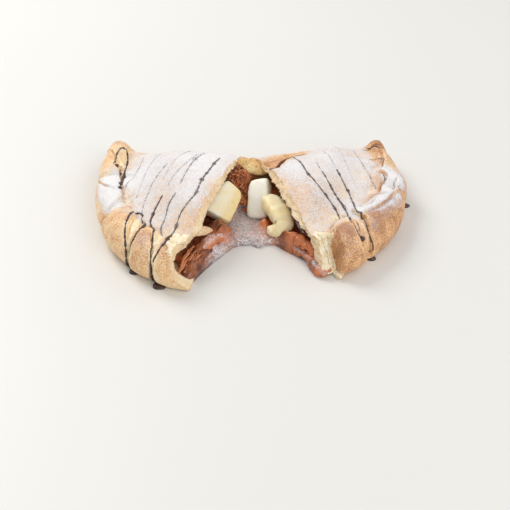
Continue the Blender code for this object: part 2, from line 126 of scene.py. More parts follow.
class Grain:
    """Smooth value noise in space that comes out the same each time."""

    CELLS = 32

    def __init__(self, seed: int) -> None:
        """Fill the lattice from a seed."""
        self.table = np.random.default_rng(seed).random((self.CELLS,) * 3)

    def at(self, points: Array, size: float) -> Array:
        """Return noise from -1 to 1 at points (..., 3), with bumps of about a size in metres."""
        cell = np.asarray(points) / size
        base = np.floor(cell).astype(int)
        part = cell - base
        part = part * part * (3.0 - 2.0 * part)
        total = np.zeros(cell.shape[:-1])
        for corner in np.ndindex(2, 2, 2):
            index = (base + corner) % self.CELLS
            weight = np.prod(np.where(corner, part, 1.0 - part), axis=-1)
            total += weight * self.table[index[..., 0], index[..., 1], index[..., 2]]
        return 2.0 * total - 1.0

    def layers(self, points: Array, size: float, count: int) -> Array:
        """Add up layers of noise, each half as large and half as strong as the last."""
        return sum(self.at(points, size / 2 ** k) / 2 ** k for k in range(count))

    def ridges(self, points: Array, size: float) -> Array:
        """Return noise with sharp crests, from 0 to 1."""
        return 1.0 - np.abs(self.at(points, size))


@dataclass(frozen=True)
class Tuck:
    """A pinched tuck of the rim: place of its foot and top, and half its width there."""

    foot: float
    top: float
    half_foot: float = 0.016
    half_top: float = 0.042


@dataclass(frozen=True)
class Fold:
    """A crease pressed into the dough, as a line in the half's plan, in millimetres."""

    line: tuple[tuple[float, float], ...]
    depth: float
    width: float
    step: float = 0.0            # how much higher the dough lies on the line's left side
    reach: float = 4.0           # how far the raised side extends
    # the darkening of a crease is painted shade, with some chocolate staining in it
    stain: float = 0.0           # how dark the crease is


@dataclass(frozen=True)
class Plan:
    """Outer form of one half of the dough, in its own plan."""

    side: int                    # -1 swings to the left, +1 to the right
    turn: float                  # degrees
    offset: float
    reach: float
    depth: float
    pocket_wall: float
    pocket_front: float
    peel_end: float
    peel_depth: float
    tongue_start: float
    ear_dome: float
    ear_rim: float
    ear_fold: float
    swells: tuple                # (place, spread, size) of stretches of rim that stand out
    tucks: tuple[Tuck, ...]
    dents: tuple                 # (u, v, radius in u, radius in v, depth), millimetres

    def outline(self, u: Array, v: Array) -> tuple[Array, Array]:
        """Return the place along the rim, 0 to 1, and the distance in from its outline."""
        ratio = np.maximum(np.hypot(u / self.reach, v / self.depth), 1e-9)
        slope = np.hypot(u / self.reach ** 2, v / self.depth ** 2) / ratio
        place = np.arctan2(u / self.reach, v / self.depth) / (pi / 2)
        return place, (1.0 - ratio) / np.maximum(slope, 1e-9)

    @staticmethod
    def rim_width(place: Array) -> Array:
        """Return the width of the crimped roll."""
        return blend(RIM_WIDTH, EAR_RIM_WIDTH, smoothstep(place, 0.55, 0.95))

    def tuck_share(self, place: Array, share: Array) -> Array:
        """Return how deep the nearest tuck is, 0 to 1; share runs from the foot to the groove."""
        deepest = np.zeros(np.broadcast(place, share).shape)
        for tuck in self.tucks:
            middle = blend(tuck.foot, tuck.top, share)
            half_width = blend(tuck.half_foot, tuck.half_top, share)
            away = np.abs(place - middle) / half_width
            deepest = np.maximum(deepest, 1.0 - smoothstep(away, 0.45, 1.0))
        return deepest

    def pillow_share(self, place: Array) -> Array:
        """Return the swell of the rim between its tucks."""
        stops = [self.peel_end, *(tuck.foot for tuck in self.tucks), 0.95]
        swell = np.zeros(np.shape(place))
        for start, end in zip(stops, stops[1:]):
            inside = (place >= start) & (place < end)
            swell = np.where(inside, np.sin(pi * (place - start) / (end - start)), swell)
        return swell

    def peel_share(self, place: Array) -> Array:
        """Return how bare the rim is: 1 where its skin is torn off."""
        if self.peel_end == 0.0:
            return np.zeros(np.shape(place))
        return 1.0 - smoothstep(place, self.peel_end, self.peel_end + PEEL_STEP)

    def foot_inset(self, place: Array) -> Array:
        """Return how far tucks, pillows and a peeled end pull the outline in."""
        inset = TUCK_DEPTH * self.tuck_share(place, np.zeros(np.shape(place)))
        inset = inset - PILLOW_CROWN * self.pillow_share(place)
        for middle, spread, size in self.swells:
            inset = inset - size * np.exp(-((place - middle) / spread) ** 2)
        if self.peel_end == 0.0:
            return inset
        bare = 1.0 - smoothstep(place, self.tongue_start, self.tongue_start + PEEL_STEP)
        return blend(inset, self.peel_depth, bare)

    def edge_height(self, place: Array) -> Array:
        """Return the height of the rim's outermost line."""
        return blend(EDGE_HEIGHT, PEEL_FOOT, self.peel_share(place))

    def ear_lift(self, u: Array) -> Array:
        """Return how far the ear has curled up."""
        return EAR_LIFT * smoothstep(u, EAR_LIFT_START * self.reach, self.reach)

    def top(self, u: Array, v: Array) -> Array:
        """Return the height of the outer upper surface."""
        place, inward = self.outline(u, v)
        width = self.rim_width(place)
        edge = self.edge_height(place)
        bare_height = edge + PEEL_SLOPE * np.maximum(0.0, inward - self.peel_depth)
        inset = self.foot_inset(place) * (1.0 - np.minimum(1.0, inward / width))
        inward = np.maximum(0.0, inward - inset)
        across = inward / width
        crest = blend(RIM_HEIGHT, self.ear_rim, smoothstep(place, 0.15, 0.9))
        taper = smoothstep(u, 0.15 * self.reach, 0.92 * self.reach)
        dome = blend(DOME_HEIGHT, self.ear_dome, taper)
        roll = blend(edge, crest, quarter_round(across / 0.55))
        roll = roll - VALLEY_DROP * smoothstep(across, 0.60, 1.0)
        tuck = self.tuck_share(place, np.minimum(across, 1.0))
        roll = roll - TUCK_DEPTH * tuck * smoothstep(across, 0.0, 0.4)
        roll = roll + PILLOW_CROWN * self.pillow_share(place) * np.sin(pi * np.minimum(across, 1.0))
        body = blend(crest - VALLEY_DROP, dome, smoothstep(inward - width, 0.0, 0.036))
        body = body - TUCK_DEPTH * tuck * (1.0 - smoothstep(inward - width, 0.0, 0.008))
        height = np.where(across < 1.0, roll, body)
        local_depth = self.depth * np.sqrt(np.maximum(0.0, 1.0 - (u / self.reach) ** 2))
        fold_round = blend(FOLD_ROUND, self.ear_fold, smoothstep(u, 0.35 * self.reach, 0.75 * self.reach))
        fold_round = np.minimum(fold_round, np.maximum(0.010, 0.55 * local_depth))
        fold_round = blend(np.minimum(0.014, fold_round), fold_round, smoothstep(across, 0.3, 1.4))
        height = blend(EDGE_HEIGHT, height, quarter_round(v / fold_round))
        height = blend(height, np.minimum(height, bare_height), self.peel_share(place))
        return height - MM * hills(u, v, self.dents) + self.ear_lift(u)

    def bottom(self, u: Array, v: Array) -> Array:
        """Return the height of the outer lower surface: flat, with rounded edges."""
        place, inward = self.outline(u, v)
        inward = np.maximum(0.0, inward - self.foot_inset(place))
        rim_side = self.edge_height(place) * (1.0 - quarter_round(inward / FOOT_ROUND))
        fold_side = EDGE_HEIGHT * (1.0 - quarter_round(v / FOOT_ROUND))
        return np.maximum(rim_side, fold_side) + self.ear_lift(u)

    def pocket_end(self, u: Array) -> Array:
        """Return how far from the fold the pocket reaches."""
        ratio = np.minimum(1.0, u / (self.reach - self.pocket_wall))
        end = (self.depth - self.pocket_wall) * np.sqrt(1.0 - ratio ** 2)
        return end + self.pocket_front * (1.0 - smoothstep(u, 0.0, 0.018))

    def ceiling(self, u: Array, v: Array) -> Array:
        """Return the height of the pocket's ceiling."""
        upper = self.top(u, v) - DOUGH
        back = quarter_round((v - POCKET_BACK) / 0.012)
        front = quarter_round((self.pocket_end(u) - v) / 0.010)
        inner = quarter_round((POCKET_DEPTH - u) / 0.015)
        return BASE_DOUGH + np.maximum(0.0, upper - BASE_DOUGH) * back * front * inner

    def to_part(self, points: Array) -> Array:
        """Move points (..., 3) of the plan to the part's own frame."""
        swing = radians(self.turn)
        outward = points[..., 0] + self.offset
        x = HINGE[0] + self.side * (outward * cos(swing) + points[..., 1] * sin(swing))
        y = HINGE[1] + outward * sin(swing) - points[..., 1] * cos(swing)
        return np.stack([x, y, points[..., 2]], axis=-1)


LEFT_PLAN = Plan(
    side=-1, turn=15.0, offset=0.0004, reach=0.1000, depth=0.1420, pocket_wall=0.0225,
    pocket_front=0.0130, peel_end=0.0, peel_depth=0.0, tongue_start=0.0,
    ear_dome=0.0235, ear_rim=0.0185, ear_fold=FOLD_ROUND, swells=(),
    tucks=(
        Tuck(0.150, 0.175, half_top=0.045),
        Tuck(0.275, 0.370, half_top=0.050),
        Tuck(0.500, 0.545),
        Tuck(0.760, 0.740),
    ),
    dents=((85.0, 26.0, 10.0, 8.0, 3.0),),
)
RIGHT_PLAN = Plan(
    side=1, turn=17.8, offset=0.0004, reach=0.1035, depth=0.1350, pocket_wall=0.0205,
    pocket_front=0.0, peel_end=0.128, peel_depth=0.0085, tongue_start=0.080,
    ear_dome=0.0250, ear_rim=0.0203, ear_fold=0.011,
    swells=((0.62, 0.18, 0.0034), (0.90, 0.08, -0.0045)),
    tucks=(
        Tuck(0.285, 0.340, half_foot=0.018, half_top=0.034),
        Tuck(0.640, 0.580),
        Tuck(0.800, 0.790),
    ),
    dents=((9.0, 20.0, 9.0, 7.5, 6.5),),
)


def distance_to_line(u: Array, v: Array, line: tuple) -> tuple[Array, Array]:
    """Measure from points to an open line of the plan.

    Args:
        u, v: the points, in metres.
        line: the line's points, in millimetres.

    Returns:
        The distance and the side: positive to the left of the line's direction.
    """
    best = np.full(np.shape(u), np.inf)
    side = np.zeros(np.shape(u))
    for (u0, v0), (u1, v1) in zip(line, line[1:]):
        du, dv = (u1 - u0) * MM, (v1 - v0) * MM
        along_u, along_v = u - u0 * MM, v - v0 * MM
        t = np.clip((along_u * du + along_v * dv) / (du * du + dv * dv), 0.0, 1.0)
        away = np.hypot(along_u - t * du, along_v - t * dv)
        cross = du * along_v - dv * along_u
        side = np.where(away < best, np.sign(cross), side)
        best = np.minimum(best, away)
    return best, side


class Graph:
    """A short way to lay nodes into a node tree."""

    def __init__(self, tree: bpy.types.NodeTree) -> None:
        """Start on an empty tree."""
        self.tree = tree
        tree.nodes.clear()

    def add(self, kind: str, inputs: dict | None = None, **settings: object) -> bpy.types.Node:
        """Add a node.

        Args:
            kind: the node's type.
            inputs: a value, a socket or a node for each input, by name or number.
            settings: the node's own properties.

        Returns:
            The new node.
        """
        node = self.tree.nodes.new(kind)
        for name, value in settings.items():
            setattr(node, name, value)
        for name, value in (inputs or {}).items():
            self.feed(node.inputs[name], value)
        return node

    def feed(self, socket: bpy.types.NodeSocket, value: object) -> None:
        """Give a socket its value, or link it to a socket or a node's first output."""
        if isinstance(value, bpy.types.Node):
            value = value.outputs[0]
        if isinstance(value, bpy.types.NodeSocket):
            self.tree.links.new(value, socket)
        else:
            socket.default_value = value

    def math(self, operation: str, *values: object) -> bpy.types.NodeSocket:
        """Add a Math node and return its result."""
        kind = "ShaderNodeMath"
        return self.add(kind, dict(enumerate(values)), operation=operation).outputs[0]

    def remap(self, value: object, low: float, high: float, to: tuple[float, float] = (0.0, 1.0),
              interpolation: str = "SMOOTHSTEP") -> bpy.types.NodeSocket:
        """Map low and high to the two ends of a range and return the result."""
        inputs = {"Value": value, "From Min": low, "From Max": high, "To Min": to[0], "To Max": to[1]}
        node = self.add("ShaderNodeMapRange", inputs, interpolation_type=interpolation)
        return node.outputs[0]

    def mix(self, share: object, first: object, second: object) -> bpy.types.NodeSocket:
        """Mix two colours and return the result."""
        inputs = {0: share, 6: as_rgba(first), 7: as_rgba(second)}
        return self.add("ShaderNodeMix", inputs, data_type="RGBA").outputs[2]

    def attribute(self, name: str) -> bpy.types.NodeSocket:
        """Read a number painted on the mesh."""
        return self.add("ShaderNodeAttribute", attribute_name=name).outputs["Fac"]

    def noise(self, vector: object, scale: object, detail: float = 2.0,
              roughness: float = 0.5) -> bpy.types.NodeSocket:
        """Add a noise texture and return its value."""
        inputs = {"Vector": vector, "Scale": scale, "Detail": detail, "Roughness": roughness}
        return self.add("ShaderNodeTexNoise", inputs).outputs[0]


def as_rgba(value: object) -> object:
    """Add an alpha of 1 to a colour of three numbers; leave anything else alone."""
    if isinstance(value, tuple) and len(value) == 3:
        return (*value, 1.0)
    return value


def new_group(name: str, inputs: dict[str, float], outputs: dict[str, str]) -> Graph:
    """Start a shader node group.

    Args:
        name: the group's name.
        inputs: default of each number that goes in, by name.
        outputs: socket type of each output, by name.

    Returns:
        The graph of the new group.
    """
    tree = bpy.data.node_groups.new(name, "ShaderNodeTree")
    for label, default in inputs.items():
        socket = tree.interface.new_socket(label, in_out="INPUT", socket_type="NodeSocketFloat")
        socket.default_value = default
    for label, kind in outputs.items():
        tree.interface.new_socket(label, in_out="OUTPUT", socket_type=kind)
    return Graph(tree)


class SharedGroups:
    """Shader node groups that more than one finish uses."""

    def __init__(self) -> None:
        """Build each group once."""
        self.powder = self.build_powder()
        self.crumb = self.build_crumb()

    @staticmethod
    def build_powder() -> bpy.types.NodeTree:
        """Build the mask and height of powdered sugar that has settled on a surface."""
        graph = new_group(
            "settled_powder", {"Coverage": 0.5, "Fineness": 1.0},
            {"Mask": "NodeSocketFloat", "Height": "NodeSocketFloat", "Colour": "NodeSocketColor"},
        )
        given = graph.add("NodeGroupInput")
        place = graph.add("ShaderNodeTexCoord").outputs["Object"]
        scale = graph.math("MULTIPLY", given.outputs["Fineness"], 1500.0)
        fine = graph.remap(graph.noise(place, scale, 1.0), 0.30, 0.70, interpolation="LINEAR")
        grit = graph.remap(graph.noise(place, graph.math("MULTIPLY", scale, 0.42), 2.0), 0.32, 0.68,
                           interpolation="LINEAR")
        level = graph.math("ADD", graph.math("MULTIPLY", fine, 0.56), graph.math("MULTIPLY", grit, 0.44))
        bare = graph.math("SUBTRACT", 1.0, given.outputs["Coverage"])
        above = graph.math("SUBTRACT", level, bare)
        mask = graph.math("MULTIPLY", graph.remap(above, -0.16, 0.26), 0.96)
        film = graph.remap(given.outputs["Coverage"], 0.10, 0.75, (0.0, 0.42), "LINEAR")
        mask = graph.math("MAXIMUM", mask, film)
        thick = graph.remap(above, 0.05, 0.75, interpolation="LINEAR")
        colour = graph.mix(thick, (0.72, 0.70, 0.725), (0.86, 0.85, 0.845))
        graph.add("NodeGroupOutput", {"Mask": mask, "Height": graph.math("MULTIPLY", level, mask),
                                      "Colour": colour})
        return graph.tree

    @staticmethod
    def build_crumb() -> bpy.types.NodeTree:
        """Build the open crumb of torn dough: its colour share and its height."""
        graph = new_group(
            "open_crumb", {"Size": 1.0},
            {"Share": "NodeSocketFloat", "Height": "NodeSocketFloat"},
        )
        given = graph.add("NodeGroupInput")
        place = graph.add("ShaderNodeTexCoord").outputs["Object"]
        scale = graph.math("DIVIDE", 420.0, given.outputs["Size"])
        cells = graph.add("ShaderNodeTexVoronoi", {"Vector": place, "Scale": scale}).outputs["Distance"]
        fibre = graph.noise(place, graph.math("MULTIPLY", scale, 1.6), 3.0, 0.6)
        height = graph.math("ADD", graph.math("MULTIPLY", cells, 0.7), graph.math("MULTIPLY", fibre, 0.6))
        share = graph.remap(height, 0.35, 0.85)
        graph.add("NodeGroupOutput", {"Share": share, "Height": height})
        return graph.tree


class Finish:
    """A surface finish: builds one Principled material."""

    name = "finish"

    def start(self) -> tuple[bpy.types.Material, Graph, bpy.types.Node]:
        """Make a material with a Principled shader on its output."""
        material = bpy.data.materials.new(self.name)
        material.use_nodes = True
        graph = Graph(material.node_tree)
        shader = graph.add("ShaderNodeBsdfPrincipled")
        graph.add("ShaderNodeOutputMaterial", {"Surface": shader})
        return material, graph, shader


@dataclass(frozen=True)
class DoughFinish(Finish):
    """Baked dough: pale to brown skin, crumb where torn, stained by chocolate and darkened by painted shade in
    creases, sugared.
    """

    groups: SharedGroups
    name: str = "baked_dough"
    pale: Colour = (0.96, 0.81, 0.54)
    golden: Colour = (0.92, 0.62, 0.335)
    tan: Colour = (0.74, 0.415, 0.195)
    brown: Colour = (0.42, 0.185, 0.080)
    crumb: Colour = (0.95, 0.87, 0.67)
    crumb_deep: Colour = (0.88, 0.67, 0.37)
    # colour of the chocolate stains, and of the painted shade in the folds' creases
    chocolate: Colour = (0.13, 0.038, 0.020)

    def material(self) -> bpy.types.Material:
        """Build the material."""
        material, graph, shader = self.start()
        place = graph.add("ShaderNodeTexCoord").outputs["Object"]
        blotch = graph.math("MULTIPLY", graph.math("SUBTRACT", graph.noise(place, 150.0, 3.0), 0.5), 0.85)
        speck = graph.math("MULTIPLY", graph.math("SUBTRACT", graph.noise(place, 1300.0, 1.0), 0.5), 1.50)
        bake = graph.math("ADD", graph.attribute("bake"), graph.math("ADD", blotch, speck))
        ramp = graph.add("ShaderNodeValToRGB", {0: bake})
        stops = ((0.05, self.pale), (0.34, self.golden), (0.66, self.tan), (1.0, self.brown))
        while len(ramp.color_ramp.elements) < len(stops):
            ramp.color_ramp.elements.new(0.5)
        for element, (position, colour) in zip(ramp.color_ramp.elements, stops):
            element.position = position
            element.color = (*colour, 1.0)
        crumb = graph.add("ShaderNodeGroup", {}, node_tree=self.groups.crumb)
        inside = graph.mix(crumb.outputs["Share"], self.crumb_deep, self.crumb)
        bare = graph.attribute("bare")
        colour = graph.mix(bare, ramp.outputs["Color"], inside)
        # Chocolate stains and the painted shade of the creases pull the colour towards chocolate.
        smear_and_shade = graph.math("ADD", graph.attribute("stain"),
                           graph.math("MULTIPLY", graph.math("SUBTRACT", graph.noise(place, 420.0), 0.5), 0.5))
        colour = graph.mix(graph.remap(smear_and_shade, 0.35, 0.75), colour, self.chocolate)
        powder = graph.add("ShaderNodeGroup", {"Coverage": graph.attribute("sugar")},
                           node_tree=self.groups.powder)
        mask = powder.outputs["Mask"]
        colour = graph.mix(mask, colour, powder.outputs["Colour"])
        graph.feed(shader.inputs["Base Color"], colour)
        graph.feed(shader.inputs["Roughness"], graph.remap(mask, 0.0, 1.0, (0.56, 0.92), "LINEAR"))
        pores = graph.noise(place, 700.0, 4.0, 0.6)
        height = graph.math("ADD", graph.math("MULTIPLY", pores, 0.5),
                            graph.math("MULTIPLY", powder.outputs["Height"], 1.1))
        rough = graph.math("MULTIPLY", crumb.outputs["Height"], graph.math("MULTIPLY", bare, 2.2))
        bump = graph.add("ShaderNodeBump", {"Height": graph.math("ADD", height, rough),
                                            "Strength": 0.75, "Distance": 0.00035})
        graph.feed(shader.inputs["Normal"], bump)
        return material


@dataclass(frozen=True)
class ChocolateFinish(Finish):
    """Melted chocolate spread: red-brown where thin, dark where thick and where painted shade lies, glossy, sugared.
    """

    groups: SharedGroups
    name: str = "chocolate"
    dark: Colour = (0.130, 0.035, 0.016)
    red: Colour = (0.60, 0.185, 0.062)
    gloss: float = 0.16
    bump: float = 0.35

    def material(self) -> bpy.types.Material:
        """Build the material."""
        material, graph, shader = self.start()
        place = graph.add("ShaderNodeTexCoord").outputs["Object"]
        swirl = graph.noise(place, 220.0, 4.0, 0.6)
        share = graph.math("ADD", graph.attribute("milk"), graph.math("SUBTRACT", swirl, 0.5))
        colour = graph.mix(graph.remap(share, 0.15, 0.85), self.dark, self.red)
        powder = graph.add("ShaderNodeGroup", {"Coverage": graph.attribute("sugar")},
                           node_tree=self.groups.powder)
        mask = powder.outputs["Mask"]
        colour = graph.mix(graph.math("MULTIPLY", mask, 0.9), colour, powder.outputs["Colour"])
        graph.feed(shader.inputs["Base Color"], colour)
        wet = graph.remap(graph.noise(place, 600.0), 0.3, 0.7, (self.gloss, self.gloss + 0.16))
        rough = graph.math("ADD", wet, graph.math("MULTIPLY", mask, 0.6))
        graph.feed(shader.inputs["Roughness"], rough)
        shader.inputs["Coat Weight"].default_value = 0.06
        shader.inputs["Coat Roughness"].default_value = 0.12
        ripple = graph.noise(place, 380.0, 4.0, 0.6)
        height = graph.math("ADD", graph.math("MULTIPLY", ripple, 0.6), powder.outputs["Height"])
        bump = graph.add("ShaderNodeBump", {"Height": height, "Strength": self.bump, "Distance": 0.0004})
        graph.feed(shader.inputs["Normal"], bump)
        return material


@dataclass(frozen=True)
class BananaFinish(Finish):
    """Warm banana flesh: cream with yellow veins, moist."""

    groups: SharedGroups
    name: str = "banana_flesh"
    cream: Colour = (0.98, 0.94, 0.78)
    white: Colour = (1.0, 0.99, 0.92)
    yellow: Colour = (0.88, 0.68, 0.27)

    def material(self) -> bpy.types.Material:
        """Build the material."""
        material, graph, shader = self.start()
        place = graph.add("ShaderNodeTexCoord").outputs["Object"]
        cloud = graph.noise(place, 140.0, 3.0)
        pale = graph.mix(graph.remap(cloud, 0.35, 0.65), self.cream, self.white)
        vein = graph.remap(graph.noise(place, 330.0, 4.0, 0.65), 0.50, 0.72)
        ripe = graph.math("MULTIPLY", vein, 0.45)
        tint = graph.math("ADD", graph.attribute("ripe"), graph.math("MULTIPLY", ripe, graph.attribute("ripe")))
        colour = graph.mix(graph.remap(tint, 0.0, 1.3, interpolation="LINEAR"), pale, self.yellow)
        graph.feed(shader.inputs["Base Color"], colour)
        graph.feed(shader.inputs["Roughness"], graph.remap(cloud, 0.3, 0.7, (0.32, 0.5)))
        shader.inputs["Subsurface Weight"].default_value = 0.25
        shader.inputs["Subsurface Radius"].default_value = (0.004, 0.0025, 0.0012)
        shader.inputs["Subsurface Scale"].default_value = 1.0
        fibre = graph.noise(place, 500.0, 4.0, 0.6)
        bump = graph.add("ShaderNodeBump", {"Height": fibre, "Strength": 0.3, "Distance": 0.0004})
        graph.feed(shader.inputs["Normal"], bump)
        return material


@dataclass(frozen=True)
class SugarFinish(Finish):
    """Grains of powdered sugar."""

    name: str = "powdered_sugar"

    def material(self) -> bpy.types.Material:
        """Build the material."""
        material, graph, shader = self.start()
        place = graph.add("ShaderNodeTexCoord").outputs["Object"]
        cloud = graph.remap(graph.noise(place, 700.0), 0.35, 0.65)
        graph.feed(shader.inputs["Base Color"], graph.mix(cloud, (0.84, 0.83, 0.86), (0.94, 0.93, 0.93)))
        shader.inputs["Roughness"].default_value = 0.85
        bump = graph.add("ShaderNodeBump", {"Height": graph.noise(place, 3000.0), "Strength": 0.4,
                                            "Distance": 0.0001})
        graph.feed(shader.inputs["Normal"], bump)
        return material


def grid_quads(rows: int, columns: int, closed: bool) -> Array:
    """Return the quads of a grid of vertices, as rows of four indices.

    Args:
        rows, columns: how many vertices each way.
        closed: whether each row is a ring.
    """
    last = columns if closed else columns - 1
    row, column = np.meshgrid(np.arange(rows - 1), np.arange(last), indexing="ij")
    beside = (column + 1) % columns
    corners = [row * columns + column, row * columns + beside,
               (row + 1) * columns + beside, (row + 1) * columns + column]
    return np.stack(corners, axis=-1).reshape(-1, 4)


def new_piece(name: str, points: Array, faces: list, paint: dict[str, Array],
              material: bpy.types.Material) -> bpy.types.Object:
    """Make an object of points and faces, with numbers painted on its points.

    Args:
        name: the object's name.
        points: (n, 3) places in the part's frame.
        faces: lists of indices.
        paint: one number for each point, by attribute name.
        material: its finish.

    Returns:
        The object, smooth, with its faces turned out.
    """
    mesh = bpy.data.meshes.new(name)
    mesh.from_pydata(points.tolist(), [], faces)
    for label, values in paint.items():
        layer = mesh.attributes.new(label, "FLOAT", "POINT")
        layer.data.foreach_set("value", np.ascontiguousarray(values, np.float32).ravel())
    work = bmesh.new()
    work.from_mesh(mesh)
    bmesh.ops.recalc_face_normals(work, faces=work.faces)
    work.to_mesh(mesh)
    work.free()
    mesh.shade_smooth()
    mesh.materials.append(material)
    piece = bpy.data.objects.new(name, mesh)
    bpy.context.scene.collection.objects.link(piece)
    return piece


def dress(piece: bpy.types.Object, slot: str, *nodes: str) -> None:
    """Fix a finished piece to the root body, hide the nodes it stands for and log its face count."""
    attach(piece, ROOT_BODY)
    if nodes:
        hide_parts(*nodes)
    log.info("%s: %d faces", piece.name, len(piece.data.polygons))


class Zone(Enum):
    """Which part of a half's skin a vertex belongs to."""

    OUTSIDE = 0
    CUT = 1
    POCKET = 2


@dataclass
class DoughHalf:
    """One half of the calzone's dough, as one closed skin."""

    name: str
    node: str
    plan: Plan
    folds: tuple[Fold, ...]
    sugar_spots: tuple
    bake_spots: tuple
    bare_spots: tuple
    lumps: tuple                 # (u, v, radius in u, radius in v, height), millimetres
    seed: int
    front_shelf: float           # how far the bottom crust sticks out at the cut's front end
    ragged: float                # how ragged the cut edge is
    cut_edge: tuple              # (v, how far the upper crust stands back there), millimetres
    CUT_CRUMB: ClassVar[float] = 0.50
    rim_bake: float              # how brown the rim is, 0 to 1
    base_back: float             # share of that by which the bottom crust stands back too
    face_slant: float            # share of that by which the inner edge stands out again
    slant_end: float             # v beyond which it doesn't, millimetres
    places: int = 300
    roll_points: int = 66
    dome_points: int = 134
    base_points: int = 34
    band_rows: int = 9
    pocket_rows: int = 40

    def outer_rings(self) -> Array:
        """Return the outside as rings of points (place, round the section, 3) in the plan."""
        plan = self.plan
        x = np.linspace(0.0, 1.0, self.places)
        place = EAR_END * (0.85 * x + 0.15 * x * x)
        angle = place * pi / 2
        normal = np.stack([plan.depth * np.sin(angle), plan.reach * np.cos(angle)], axis=-1)
        normal /= np.linalg.norm(normal, axis=-1, keepdims=True)
        rim = np.stack([plan.reach * np.sin(angle), plan.depth * np.cos(angle)], axis=-1)
        rim = rim - normal * plan.foot_inset(place)[:, None]
        fold = np.stack([(plan.reach - 0.0015) * place ** 1.5, np.zeros_like(place)], axis=-1)
        line = fold - rim
        length = np.linalg.norm(line, axis=-1)
        line /= length[:, None]
        squint = np.maximum(0.5, -(line * normal).sum(axis=-1))
        roll = np.minimum(plan.rim_width(place) / squint, 0.52 * length)
        roll_share = np.linspace(0.0, 1.0, self.roll_points, endpoint=False) ** 1.3
        dome_share = 1.0 - (1.0 - np.linspace(0.0, 1.0, self.dome_points)) ** 1.25
        foot = np.minimum(FOOT_ROUND, 0.40 * length)[:, None]
        edge_share = np.linspace(0.0, 1.0, self.base_points // 3 + 1)[1:] ** 1.4
        middle_share = np.linspace(0.0, 1.0, self.base_points // 3 + 2)[1:-1]
        far = foot / squint[:, None]
        over = np.concatenate([
            roll[:, None] * roll_share,
            blend(roll[:, None], length[:, None], dome_share),
        ], axis=1)
        under = np.concatenate([
            length[:, None] - foot * edge_share,
            blend(length[:, None] - foot, far, middle_share),
            far * edge_share[::-1],
        ], axis=1)
        distance = np.concatenate([over, under], axis=1)
        u = rim[:, None, 0] + line[:, None, 0] * distance
        v = np.maximum(0.0, rim[:, None, 1] + line[:, None, 1] * distance)
        count = over.shape[1]
        z = np.concatenate([plan.top(u[:, :count], v[:, :count]),
                            plan.bottom(u[:, count:], v[:, count:])], axis=1)
        z[:, 0] = plan.edge_height(place) + plan.ear_lift(u[:, 0])
        return np.stack([u, v, z], axis=-1)

    @staticmethod
    def ring_normals(rings: Array) -> Array:
        """Return the outward normals of the outside's rings."""
        along = np.gradient(rings, axis=0)
        around = (np.roll(rings, -1, axis=1) - np.roll(rings, 1, axis=1)) / 2
        normal = np.cross(along, around)
        size = np.linalg.norm(normal, axis=-1, keepdims=True)
        normal /= np.maximum(size, 1e-12)
        return normal if normal[5, 90, 2] > 0.0 else -normal

    def relief(self, rings: Array) -> Array:
        """Return how far each point of the outside stands out, in metres."""
        plan, grain = self.plan, Grain(self.seed)
        u, v, z = rings[..., 0], rings[..., 1], rings[..., 2]
        place, inward = plan.outline(u, v)
        across = inward / plan.rim_width(place)
        out = 0.55 * MM * grain.at(rings, 0.017) + 0.22 * MM * grain.layers(rings, 0.0060, 3)
        roll = 1.0 - smoothstep(across, 0.9, 1.5)
        out += roll * 0.30 * MM * grain.layers(rings + 0.5, 0.0050, 2)
        valley = hill(across, across * 0.0, (1.12, 0.0), (0.42, 1.0)) * smoothstep(place, 0.2, 0.45)
        out += valley * 1.1 * MM * (grain.ridges(rings * (1.0, 1.0, 0.3), 0.0060) - 0.55)
        out += MM * hills(u, v, self.lumps)
        for fold in self.folds:
            away, side = distance_to_line(u, v, fold.line)
            wander = 1.0 + 0.35 * grain.at(rings, 0.0040)
            width = fold.width * MM * wander
            out -= fold.depth * MM * np.exp(-(away / width) ** 2)
            if fold.step:
                rise = np.exp(-((away / (fold.reach * MM)) ** 2)) * smoothstep(side, -0.5, 0.5)
                out += fold.step * MM * rise * smoothstep(away, 0.0, fold.width * MM)
        bare = plan.peel_share(place) * smoothstep(25.0 * MM - inward, 0.0, 0.004)
        crumb = grain.layers(rings, 0.0035, 3) * 1.1 * MM + grain.ridges(rings, 0.0018) * 0.5 * MM
        out = blend(out, out * 0.4 + crumb, bare)
        return out * smoothstep(z, 0.001, 0.006)

    def cut_section(self, ring: Array) -> Array:
        """Return where on the pocket's outline each point of the cut's outer ring looks.

        The outline runs from its front end along the ceiling (0 to 0.5) and back on the
        floor (0.5 to 1).
        """
        middle = np.array([0.45 * self.plan.depth, 0.35 * DOME_HEIGHT])
        share = np.linspace(0.0, 1.0, 1200)
        outline = self.pocket_ring(np.zeros_like(share), share)
        turns = []
        for points in (ring, outline):
            away = points[..., 1:] - middle
            angle = np.unwrap(np.arctan2(away[:, 1], away[:, 0]))
            turns.append(np.maximum.accumulate(angle))
        outer, inner = turns
        inner = np.concatenate([inner - 2 * pi, inner, inner + 2 * pi])
        shares = np.concatenate([share - 1.0, share, share + 1.0])
        return np.interp(outer, inner, shares) % 1.0

    def pocket_ring(self, u: Array, share: Array) -> Array:
        """Return points of the pocket's outline at u."""
        plan = self.plan
        end = plan.pocket_end(u)
        above = share < 0.5
        v = np.where(above, blend(end, POCKET_BACK, share * 2.0), blend(POCKET_BACK, end, share * 2.0 - 1.0))
        z = np.where(above, plan.ceiling(u, v), BASE_DOUGH)
        return np.stack([u + 0.0 * v, v, z], axis=-1)

